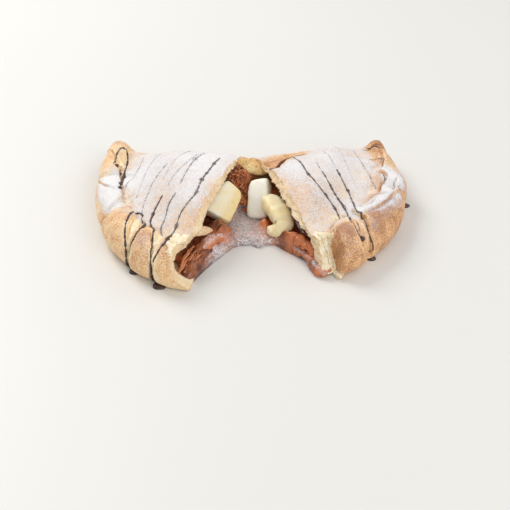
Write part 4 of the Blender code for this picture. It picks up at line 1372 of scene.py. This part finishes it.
class SweepTree:
    """Geometry Nodes: sweeps a round section along lines and varies its thickness."""

    def __init__(self) -> None:
        """Build the tree with its named inputs."""
        tree = bpy.data.node_groups.new("drizzle_sweep", "GeometryNodeTree")
        face = tree.interface
        face.new_socket("Geometry", in_out="OUTPUT", socket_type="NodeSocketGeometry")
        face.new_socket("Lines", in_out="INPUT", socket_type="NodeSocketGeometry")
        face.new_socket("Spacing", in_out="INPUT", socket_type="NodeSocketFloat")
        face.new_socket("Unevenness", in_out="INPUT", socket_type="NodeSocketFloat")
        face.new_socket("Sides", in_out="INPUT", socket_type="NodeSocketInt")
        face.new_socket("Finish", in_out="INPUT", socket_type="NodeSocketMaterial")
        graph = Graph(tree)
        given = graph.add("NodeGroupInput")
        curve = graph.add("GeometryNodeMeshToCurve", {"Mesh": given.outputs["Lines"]})
        even = graph.add("GeometryNodeResampleCurve", {"Curve": curve, "Length": given.outputs["Spacing"]},
                         mode="LENGTH")
        named = graph.add("GeometryNodeInputNamedAttribute", {"Name": "thickness"}, data_type="FLOAT")
        noise = graph.noise(graph.add("GeometryNodeInputPosition"), 420.0, 2.0)
        swing = graph.math("MULTIPLY", graph.math("SUBTRACT", noise, 0.5), given.outputs["Unevenness"])
        radius = graph.math("MULTIPLY", named.outputs["Attribute"], graph.math("ADD", swing, 1.0))
        sized = graph.add("GeometryNodeSetCurveRadius", {"Curve": even, "Radius": radius})
        circle = graph.add("GeometryNodeCurvePrimitiveCircle",
                           {"Resolution": given.outputs["Sides"], "Radius": 1.0})
        swept = graph.add("GeometryNodeCurveToMesh",
                          {"Curve": sized, "Profile Curve": circle.outputs["Curve"], "Fill Caps": True})
        if "Scale" in swept.inputs:
            graph.feed(swept.inputs["Scale"], radius)
        real = graph.add("GeometryNodeRealizeInstances", {"Geometry": swept})
        done = graph.add("GeometryNodeSetMaterial", {"Geometry": real, "Material": given.outputs["Finish"]})
        graph.add("NodeGroupOutput", {"Geometry": done})
        self.tree = tree


class ScatterTree:
    """Geometry Nodes: strews small rounded grains on a surface, where it is painted."""

    def __init__(self) -> None:
        """Build the tree with its named inputs."""
        tree = bpy.data.node_groups.new("grain_scatter", "GeometryNodeTree")
        face = tree.interface
        face.new_socket("Geometry", in_out="OUTPUT", socket_type="NodeSocketGeometry")
        face.new_socket("Surface", in_out="INPUT", socket_type="NodeSocketGeometry")
        for label in ("Density", "Smallest", "Largest"):
            face.new_socket(label, in_out="INPUT", socket_type="NodeSocketFloat")
        face.new_socket("Seed", in_out="INPUT", socket_type="NodeSocketInt")
        face.new_socket("Finish", in_out="INPUT", socket_type="NodeSocketMaterial")
        graph = Graph(tree)
        given = graph.add("NodeGroupInput")
        painted = graph.add("GeometryNodeInputNamedAttribute", {"Name": "strew"}, data_type="FLOAT")
        density = graph.math("MULTIPLY", painted.outputs["Attribute"], given.outputs["Density"])
        points = graph.add("GeometryNodeDistributePointsOnFaces",
                           {"Mesh": given.outputs["Surface"], "Density": density, "Seed": given.outputs["Seed"]},
                           distribute_method="RANDOM")
        grain = graph.add("GeometryNodeMeshIcoSphere", {"Radius": 1.0, "Subdivisions": 1})
        size = graph.add("FunctionNodeRandomValue", {2: given.outputs["Smallest"], 3: given.outputs["Largest"],
                                                     "Seed": given.outputs["Seed"]}, data_type="FLOAT")
        turn = graph.add("FunctionNodeRandomValue", {0: (0.0, 0.0, 0.0), 1: (6.28, 6.28, 6.28),
                                                     "Seed": given.outputs["Seed"]}, data_type="FLOAT_VECTOR")
        placed = graph.add("GeometryNodeInstanceOnPoints",
                           {"Points": points.outputs["Points"], "Instance": grain.outputs["Mesh"],
                            "Rotation": turn.outputs[0], "Scale": size.outputs[1]})
        real = graph.add("GeometryNodeRealizeInstances", {"Geometry": placed})
        done = graph.add("GeometryNodeSetMaterial", {"Geometry": real, "Material": given.outputs["Finish"]})
        graph.add("NodeGroupOutput", {"Geometry": done})
        self.tree = tree


def run_tree(name: str, mesh: bpy.types.Mesh, tree: bpy.types.NodeTree, values: dict) -> bpy.types.Object:
    """Run a Geometry Nodes tree on a mesh and keep the result as a plain mesh.

    Args:
        name: the new object's name.
        mesh: what the tree starts from; it is used up.
        tree: the tree.
        values: the tree's inputs, by name.

    Returns:
        The new object, without modifiers.
    """
    holder = bpy.data.objects.new(name + "_source", mesh)
    bpy.context.scene.collection.objects.link(holder)
    modifier = holder.modifiers.new("tree", "NODES")
    modifier.node_group = tree
    sockets = {item.name: item.identifier for item in tree.interface.items_tree if item.in_out == "INPUT"}
    for label, value in values.items():
        modifier[sockets[label]] = value
    depsgraph = bpy.context.evaluated_depsgraph_get()
    plain = bpy.data.meshes.new_from_object(holder.evaluated_get(depsgraph))
    bpy.data.objects.remove(holder)
    bpy.data.meshes.remove(mesh)
    plain.name = name
    plain.shade_smooth()
    if not plain.materials:
        plain.materials.append(values["Finish"])
    piece = bpy.data.objects.new(name, plain)
    bpy.context.scene.collection.objects.link(piece)
    return piece


@dataclass(frozen=True)
class Strand:
    """One line of drizzle, as points of a half's plan in millimetres."""

    plan: Plan
    line: tuple[tuple[float, float], ...]
    width: float = 0.95
    powdered: float = 0.30       # how much sugar lies on it
    to_foot: bool = False        # whether it runs down the rim to the plate
    beads: tuple[float, ...] = ()     # places of thicker drops, 0 to 1


STRANDS = (
    Strand(LEFT_PLAN, ((11, 30), (12, 44), (13, 57), (13, 68), (12, 82), (15, 92), (17, 98), (17, 108),
                       (18, 117)), 0.95, 0.30, False, (0.10, 0.23, 0.34, 0.48, 0.86)),
    Strand(LEFT_PLAN, ((18, 117), (17, 124), (17, 130), (19, 135), (21, 138)), 1.0, 0.05, True, (0.25,)),
    Strand(LEFT_PLAN, ((28, 26), (30, 37), (32, 48), (34, 57), (35, 70)), 0.8, 0.72),
    Strand(LEFT_PLAN, ((24, 22), (26, 34), (27, 44), (27, 56), (26, 72)), 0.9, 0.62, False, (0.35,)),
    Strand(LEFT_PLAN, ((26, 80), (28, 89), (27, 99), (27, 108), (24, 114)), 0.85, 0.42),
    Strand(LEFT_PLAN, ((36, 78), (37, 88), (37, 96), (36, 103), (30, 112), (28, 119), (26, 127), (25, 133),
                       (23, 138)), 1.0, 0.10, True, (0.22,)),
    Strand(LEFT_PLAN, ((46, 40), (50, 52), (50, 63), (49, 72), (48, 83), (45, 95), (39, 103)), 0.7, 0.60),
    Strand(LEFT_PLAN, ((45, 93), (44, 98), (40, 103), (38, 108), (37, 116), (38, 122), (40, 127), (42, 130)),
           1.1, 0.08, True, (0.5,)),
    Strand(LEFT_PLAN, ((45, 93), (48, 91), (51, 96), (50, 105), (49, 113), (47, 120), (44, 127)), 1.05, 0.12, True),
    Strand(LEFT_PLAN, ((73, 16), (70, 39), (71, 53), (68, 66)), 0.7, 0.66),
    Strand(LEFT_PLAN, ((60, 14), (62, 30), (61, 48), (58, 66), (57, 80)), 0.6, 0.74),
    Strand(LEFT_PLAN, ((88, 11), (91, 16), (91, 24), (89, 31), (88, 37)), 0.95, 0.25),
    Strand(LEFT_PLAN, ((88, 11), (85, 17), (82.5, 26), (80, 35), (77, 46), (74, 56)), 0.95, 0.10, False,
           (0.75,)),
    Strand(LEFT_PLAN, ((38, 12), (40, 28), (42, 46), (42, 60)), 0.6, 0.78),
    Strand(RIGHT_PLAN, ((22, 33), (24, 44), (24, 59), (26, 71), (30, 82), (32, 90), (32, 99)), 0.85, 0.24, False,
           (0.33, 0.62, 0.80)),
    Strand(RIGHT_PLAN, ((36, 42), (35, 48), (35, 53)), 0.6, 0.60),
    Strand(RIGHT_PLAN, ((35, 55), (35.4, 62), (36, 70), (37, 78), (39, 87), (39, 97), (37, 107), (36, 117),
                        (38, 122)), 0.9, 0.22, False, (0.30, 0.42, 0.50, 0.66)),
    Strand(RIGHT_PLAN, ((40, 107), (39, 112), (38, 118)), 0.6, 0.25),
    Strand(RIGHT_PLAN, ((48, 20), (49, 34), (49, 46)), 0.6, 0.70),
    Strand(RIGHT_PLAN, ((49, 47), (49, 54), (49, 68), (48, 81), (46, 92), (47, 104), (46, 114), (47, 121),
                        (46, 126)), 0.95, 0.22, False, (0.10, 0.25)),
    Strand(RIGHT_PLAN, ((76, 12), (76, 34), (74, 51), (71, 67)), 0.65, 0.55, False, (0.9,)),
    Strand(RIGHT_PLAN, ((62, 10), (62, 28), (60, 46), (58, 64)), 0.55, 0.78),
    Strand(RIGHT_PLAN, ((87, 7), (89.5, 10), (91.5, 14), (93, 19)), 0.9, 0.15),
    Strand(RIGHT_PLAN, ((83, 50), (81, 58), (77, 66)), 0.7, 0.35),
)
BIG_DROPS = (                    # (plan, u, v, radius, height) of drops that lie on the dough, millimetres
    (RIGHT_PLAN, 38.0, 121.5, 2.3, 1.5),
    (RIGHT_PLAN, 36.0, 69.0, 1.1, 0.7),
    (LEFT_PLAN, 17.5, 117.0, 1.5, 0.9),
    (LEFT_PLAN, 86.0, 36.5, 1.9, 1.0),
    (LEFT_PLAN, 81.5, 40.5, 1.6, 1.0),
    (LEFT_PLAN, 77.5, 47.0, 2.1, 1.1),
    (LEFT_PLAN, 74.0, 60.0, 2.0, 1.1),
    (LEFT_PLAN, 71.5, 66.5, 1.7, 1.0),
)
FLOOR_DROPS = (                  # (x, y, radius in x, radius in y, height) on the plate, millimetres
    (-74.4, -59.9, 3.7, 3.9, 2.4),
    (-57.6, -74.6, 4.4, 4.5, 2.4),
    (78.6, -41.6, 3.2, 2.9, 2.0),
    (106.6, 22.7, 5.2, 3.0, 2.2),
)
RIM_DROPS = (                    # (y, z, radius in x, radius in y, height) on the right rim, millimetres
    (34.0, 9.0, 3.0, 2.4, 2.2),
    (44.0, 9.5, 2.4, 1.9, 1.8),
)


STRING_BUNDLES = (               # (points in millimetres in the part's frame, how many, spread, width)
    (((-31, -47, 10), (-34, -54, 11.5), (-37, -61, 11.5), (-40.5, -68, 9.5), (-43.5, -74, 7.0)), 10, 2.8, 2.1),
    (((-34, -49, 14), (-38, -56, 15.0), (-41, -62, 13.5), (-44, -70, 9.5)), 6, 1.8, 1.7),
    (((-29, -47, 5), (-32, -57, 5.5), (-36, -65, 5.5), (-40, -73, 4.0)), 5, 2.0, 2.2),
)
TANGLES = (                      # the same, of short strings that lie in every direction
    (((-15, 19, 26), (-10, 20, 27), (-5, 20, 25), (-1, 18, 20)), 60, 3.0, 1.5),
    (((-14, 14, 22), (-9, 15, 21), (-4, 14, 17), (-2, 9, 12)), 60, 3.2, 1.5),
    (((-10, 9, 15), (-6, 8, 12), (-3, 2, 8)), 26, 2.4, 1.4),
    (((-31, -47, 9), (-36, -58, 10), (-42, -71, 6)), 44, 3.4, 1.6),
    (((31, -38, 12), (38, -46, 9), (46, -56, 6)), 22, 2.0, 1.4),
)


class ChocolateStrings:
    """Torn strings of clotted chocolate, swept along wandering lines."""

    STEP = 0.9 * MM

    def build(self, sweep: "SweepTree", material: bpy.types.Material) -> bpy.types.Object:
        """Build all strings as one piece."""
        random = np.random.default_rng(91)
        grain = Grain(92)
        points, edges, thickness, milk, paths = [], [], [], [], []
        for line, count, spread, width in STRING_BUNDLES:
            table = np.array(line, float) * MM
            knots = np.arange(len(table), dtype=float)
            length = np.linalg.norm(np.diff(table, axis=0), axis=-1).sum()
            for _ in range(count):
                start, end = np.sort(random.uniform(0.0, knots[-1], 2) + (-0.25, 0.25))
                t = np.linspace(max(0.0, start), min(knots[-1], end), max(5, int(length / self.STEP)))
                path = smooth_curve(knots, table, t) + random.normal(0.0, spread * MM * 0.55, 3)
                wander = np.stack([grain.at(path * 1.0 + shift, 0.005) for shift in (0.1, 0.3, 0.7)], axis=-1)
                path = path + 1.1 * MM * wander
                path[:, 2] = np.maximum(path[:, 2], 2.2 * MM)
                paths.append((path, width))
        for line, count, spread, width in TANGLES:
            table = np.array(line, float) * MM
            knots = np.arange(len(table), dtype=float)
            for _ in range(count):
                middle = smooth_curve(knots, table, random.uniform(0.0, knots[-1], 1))
                middle = middle + random.normal(0.0, spread * MM * 0.6, 3)
                way, bend = random.normal(0.0, 1.0, (2, 3))
                t = np.linspace(-1.0, 1.0, 9)[:, None]
                length = random.uniform(1.2, 3.0) * MM
                path = middle + length * (t * way / np.linalg.norm(way) + 0.4 * t * t * bend)
                path[:, 2] = np.maximum(path[:, 2], 2.2 * MM)
                paths.append((path, width))
        for path, width in paths:
            first = len(points)
            points += path.tolist()
            edges += [(first + k, first + k + 1) for k in range(len(path) - 1)]
            taper = np.sin(pi * np.linspace(0.06, 0.94, len(path))) ** 0.5
            thickness += (taper * width * MM / 2 * random.uniform(0.6, 1.2)).tolist()
            milk += [random.uniform(0.3, 1.0)] * len(path)
        mesh = bpy.data.meshes.new("string_lines")
        mesh.from_pydata(points, edges, [])
        for label, values in (("thickness", thickness), ("milk", milk)):
            layer = mesh.attributes.new(label, "FLOAT", "POINT")
            layer.data.foreach_set("value", values)
        piece = run_tree("chocolate_strings", mesh, sweep.tree, {
            "Spacing": 0.6 * MM, "Unevenness": 2.2, "Sides": 8, "Finish": material})
        dress(piece, "chocolate")
        return piece


class Drizzle:
    """Thin lines and drops of dark chocolate that lie on the baked dough."""

    STEP = 0.8 * MM
    SUNK = 0.15                  # share of its radius that a line is pressed into the dough
    SPREAD = 1.30                # how much wider a line has run than it was poured
    FOOT = ((8.0, 0.5), (5.5, 0.2), (3.2, -1.0), (1.2, -2.6))   # height, step outwards of a line's end

    def __init__(self, halves: tuple[bpy.types.Object, bpy.types.Object], sweep: SweepTree) -> None:
        """Keep the surfaces that the lines lie on."""
        self.trees = {LEFT_PLAN: self.surface(halves[0]), RIGHT_PLAN: self.surface(halves[1])}
        self.sweep = sweep

    @staticmethod
    def surface(piece: bpy.types.Object) -> BVHTree:
        """Return a search tree of a piece's faces."""
        mesh = piece.data
        points = [vertex.co for vertex in mesh.vertices]
        return BVHTree.FromPolygons(points, [tuple(face.vertices) for face in mesh.polygons])

    def drop_on(self, plan: Plan, u: float, v: float) -> Vector | None:
        """Return the point of the upper surface above a point of the plan."""
        x, y, _ = plan.to_part(np.array([u, v, 0.0]))
        hit = self.trees[plan].ray_cast(Vector((x, y, 0.08)), Vector((0.0, 0.0, -1.0)))
        return hit[0]

    def trace(self, strand: Strand) -> tuple[Array, Array]:
        """Return the points of a strand on the dough and its radius at each."""
        line = np.array(strand.line, float) * MM
        knots = np.arange(len(line), dtype=float)
        length = np.linalg.norm(np.diff(line, axis=0), axis=-1).sum()
        t = np.linspace(0.0, knots[-1], max(8, int(length / self.STEP)))
        path = smooth_curve(knots, line, t)
        spots, shares = [], []
        for (u, v), share in zip(path, t / knots[-1]):
            spot = self.drop_on(strand.plan, u, v)
            if spot is not None and spot.z > 0.006:
                spots.append(tuple(spot))
                shares.append(share)
        spots, shares = np.array(spots), np.array(shares)
        if strand.to_foot:
            away = spots[-1] - strand.plan.to_part(np.zeros(3))
            away = np.array([away[0], away[1], 0.0]) / np.hypot(away[0], away[1])
            foot = spots[-1] * (1.0, 1.0, 0.0)
            tail = [foot + away * out * MM + (0.0, 0.0, height * MM) for height, out in self.FOOT]
            spots = np.vstack([spots, *tail])
            shares = np.append(shares, np.ones(len(tail)))
        radius = np.full(len(spots), self.SPREAD * strand.width * MM / 2)
        for place in strand.beads:
            radius += 0.75 * MM * np.exp(-((shares - place) * length / (1.5 * MM)) ** 2)
        ends = np.minimum(shares, 1.0 - shares) * length
        radius *= blend(0.45, 1.0, smoothstep(ends, 0.0, 2.0 * MM)) if not strand.to_foot else 1.0
        spots[:, 2] -= radius * self.SUNK
        return spots, radius

    def build(self, material: bpy.types.Material) -> bpy.types.Object:
        """Sweep all strands into one piece."""
        points, edges, thickness, sugar = [], [], [], []
        for strand in STRANDS:
            spots, radius = self.trace(strand)
            first = len(points)
            points += spots.tolist()
            edges += [(first + k, first + k + 1) for k in range(len(spots) - 1)]
            thickness += radius.tolist()
            sugar += [strand.powdered] * len(spots)
        mesh = bpy.data.meshes.new("drizzle_lines")
        mesh.from_pydata(points, edges, [])
        for label, values in (("thickness", thickness), ("sugar", sugar)):
            layer = mesh.attributes.new(label, "FLOAT", "POINT")
            layer.data.foreach_set("value", values)
        piece = run_tree("drizzle", mesh, self.sweep.tree, {
            "Spacing": 0.55 * MM, "Unevenness": 2.6, "Sides": 8, "Finish": material})
        dress(piece, "chocolate")
        return piece

    def build_drops(self, material: bpy.types.Material) -> bpy.types.Object:
        """Build the drops on the dough and at the rim's foot as low round puddles."""
        spots = []
        for plan, u, v, radius, height in BIG_DROPS:
            spot = self.drop_on(plan, u * MM, v * MM)
            spots.append((spot, radius * MM, radius * MM, height * MM))
        for x, y, radius_x, radius_y, height in FLOOR_DROPS:
            spots.append((Vector((x, y, 0.0)) * MM, radius_x * MM, radius_y * MM, height * MM))
        for y, z, radius_x, radius_y, height in RIM_DROPS:
            start = Vector((0.14, y * MM, z * MM))
            spot = self.trees[RIGHT_PLAN].ray_cast(start, Vector((-1.0, 0.0, 0.0)))[0]
            log.info("drop on the rim at x %.1f mm", spot.x / MM)
            spots.append((spot, radius_x * MM, radius_y * MM, height * MM))
        grain = Grain(61)
        rings, around = 12, 36
        turn = np.linspace(0.0, 2 * pi, around, endpoint=False)
        points, faces, sugar = [], [], []
        for centre, radius_x, radius_y, height in spots:
            start = len(points)
            tilt = np.linspace(-0.5, 1.0, rings)[:, None] * pi / 2
            x = radius_x * np.cos(tilt) * np.cos(turn)
            y = radius_y * np.cos(tilt) * np.sin(turn)
            z = height * np.sin(tilt) + 0.0 * turn
            body = np.stack([x, y, z], axis=-1) + np.array(centre)
            body *= 1.0
            wave = 1.0 + 0.14 * grain.at(body * (1.0, 1.0, 0.0), 0.0030)[..., None]
            body = np.array(centre) + (body - np.array(centre)) * wave
            body[..., 2] = np.maximum(body[..., 2], 0.0)
            points += body.reshape(-1, 3).tolist()
            faces += (grid_quads(rings, around, closed=True) + start).tolist()
            faces += [[start + k for k in range(around)],
                      [start + (rings - 1) * around + k for k in range(around)]]
            sugar += [0.0] * body[..., 0].size
        paint = {"sugar": np.array(sugar), "milk": 0.15 + np.array(sugar)}
        piece = new_piece("drops", np.array(points), faces, paint, material)
        dress(piece, "chocolate")
        return piece


@dataclass
class Strewn:
    """Small grains of one kind, strewn on a finished surface."""

    name: str
    slot: str
    per_square_mm: float
    smallest: float              # radius, millimetres
    largest: float
    seed: int

    def build(self, surface: bpy.types.Object, strew: Array, tree: ScatterTree,
              material: bpy.types.Material) -> bpy.types.Object:
        """Strew the grains.

        Args:
            surface: the piece they lie on.
            strew: 0 to 1 for each of its points.
            tree: the scatter tree.
            material: the grains' finish.

        Returns:
            The new piece.
        """
        mesh = surface.data.copy()
        layer = mesh.attributes.new("strew", "FLOAT", "POINT")
        layer.data.foreach_set("value", strew.astype(np.float32))
        piece = run_tree(self.name, mesh, tree.tree, {
            "Density": self.per_square_mm / (MM * MM), "Smallest": self.smallest * MM,
            "Largest": self.largest * MM, "Seed": self.seed, "Finish": material})
        for label in [item.name for item in piece.data.attributes if item.name in PAINTED]:
            piece.data.attributes.remove(piece.data.attributes[label])
        dress(piece, self.slot)
        return piece


PAINTED = ("strew",)


def painted(piece: bpy.types.Object, label: str) -> Array:
    """Read a painted attribute of a piece."""
    data = piece.data.attributes[label].data
    values = np.empty(len(data), np.float32)
    data.foreach_get("value", values)
    return values


def strew_grains(halves: tuple, tree: ScatterTree, sugar: bpy.types.Material,
                 dough: bpy.types.Material) -> None:
    """Strew sugar grains on both halves and crumb bits on their cut edges."""
    for side, half in zip(("left", "right"), halves):
        amount = np.clip(painted(half, "sugar"), 0.0, 1.0) ** 2
        grains = Strewn(f"sugar_grains_{side}", "baked_dough", 0.55, 0.13, 0.34, 71)
        grains.build(half, amount, tree, sugar)
        edge = (painted(half, "bare") > 0.47).astype(np.float32)
        bits = Strewn(f"crumb_bits_{side}", "baked_dough", 0.30, 0.22, 0.62, 72)
        bits.build(half, edge, tree, dough)


class Studio:
    """Pale floor, soft light and the camera."""

    CAMERA = (0.00145, -0.60805, 0.4047)
    PITCH = 35.44                # degrees below the horizon
    YAW = -0.11
    ROLL = 0.86
    LENS = 75.0
    SENSOR = 36.0

    def floor(self) -> None:
        """Lay the pale floor."""
        material = bpy.data.materials.new("pale_floor")
        material.use_nodes = True
        shader = material.node_tree.nodes["Principled BSDF"]
        shader.inputs["Base Color"].default_value = (0.775, 0.765, 0.73, 1.0)
        shader.inputs["Roughness"].default_value = 0.45
        half = 3.0
        mesh = bpy.data.meshes.new("floor")
        mesh.from_pydata([(-half, -half, 0), (half, -half, 0), (half, half, 0), (-half, half, 0)], [],
                         [(0, 1, 2, 3)])
        mesh.materials.append(material)
        plane = bpy.data.objects.new("floor", mesh)
        bpy.context.scene.collection.objects.link(plane)

    @staticmethod
    def light(name: str, place: tuple, size: float, power: float, colour: Colour) -> None:
        """Hang a square light that faces the calzone."""
        data = bpy.data.lights.new(name, "AREA")
        data.size = size
        data.energy = power
        data.color = colour
        lamp = bpy.data.objects.new(name, data)
        lamp.location = place
        lamp.rotation_euler = (-Vector(place)).to_track_quat("-Z", "Y").to_euler()
        bpy.context.scene.collection.objects.link(lamp)

    def lights(self) -> None:
        """Set the soft light: bright from the left and behind, filled from all round."""
        self.light("key", (-0.70, 0.65, 0.95), 0.7, 10.8, (1.0, 0.985, 0.96))
        self.light("front_fill", (0.70, -1.05, 0.85), 1.2, 9.6, (1.0, 0.99, 0.98))
        self.light("right_fill", (1.1, 0.5, 0.9), 1.2, 3.5, (1.0, 0.99, 0.98))
        world = bpy.data.worlds.new("soft_room")
        world.use_nodes = True
        world.node_tree.nodes["Background"].inputs["Color"].default_value = (0.97, 0.98, 1.0, 1.0)
        world.node_tree.nodes["Background"].inputs["Strength"].default_value = 0.52
        bpy.context.scene.world = world

    def camera(self) -> None:
        """Stand the camera at the viewing angle."""
        data = bpy.data.cameras.new("camera")
        data.lens = self.LENS
        data.sensor_width = self.SENSOR
        camera = bpy.data.objects.new("camera", data)
        turn = (Matrix.Rotation(radians(self.YAW), 4, "Z")
                @ Matrix.Rotation(radians(90.0 - self.PITCH), 4, "X")
                @ Matrix.Rotation(radians(self.ROLL), 4, "Z"))
        camera.matrix_world = Matrix.Translation(self.CAMERA) @ turn
        bpy.context.scene.collection.objects.link(camera)
        bpy.context.scene.camera = camera

    def build(self) -> None:
        """Set the whole stage."""
        bpy.context.scene.view_settings.view_transform = "Standard"
        self.floor()
        self.lights()
        self.camera()


def main() -> None:
    """Build every piece in order."""
    groups = SharedGroups()
    dough = DoughFinish(groups).material()
    lip_dough = DoughFinish(
        groups, name="lip_dough", pale=(0.84, 0.66, 0.32), golden=(0.76, 0.50, 0.21),
        tan=(0.56, 0.30, 0.10), brown=(0.24, 0.10, 0.04),
    ).material()
    chocolate = ChocolateFinish(groups).material()
    drizzle_finish = ChocolateFinish(
        groups, name="dark_drizzle", dark=(0.058, 0.024, 0.016), red=(0.130, 0.050, 0.032), gloss=0.28,
    ).material()
    banana = BananaFinish(groups).material()
    sugar = SugarFinish().material()

    Studio().build()
    halves = make_halves(dough)
    make_scraps(dough, lip_dough)
    ChocolateFilling().build(chocolate)
    make_dribbles(chocolate)
    make_bananas(banana)
    sweep = SweepTree()
    # The strings get a brighter copy of the chocolate: its extra brightness is painted light, making up for the
    # shade among them.
    torn = ChocolateFinish(groups, name="brightened_string_chocolate", dark=(0.24, 0.070, 0.028),
                           red=(0.68, 0.250, 0.095), gloss=0.22).material()
    ChocolateStrings().build(sweep, torn)
    drizzle = Drizzle(halves, sweep)
    drizzle.build(drizzle_finish)
    drizzle.build_drops(drizzle_finish)
    strew_grains(halves, ScatterTree(), sugar, dough)

    log.info("sizes written")


if __name__ == "__main__":
    main()
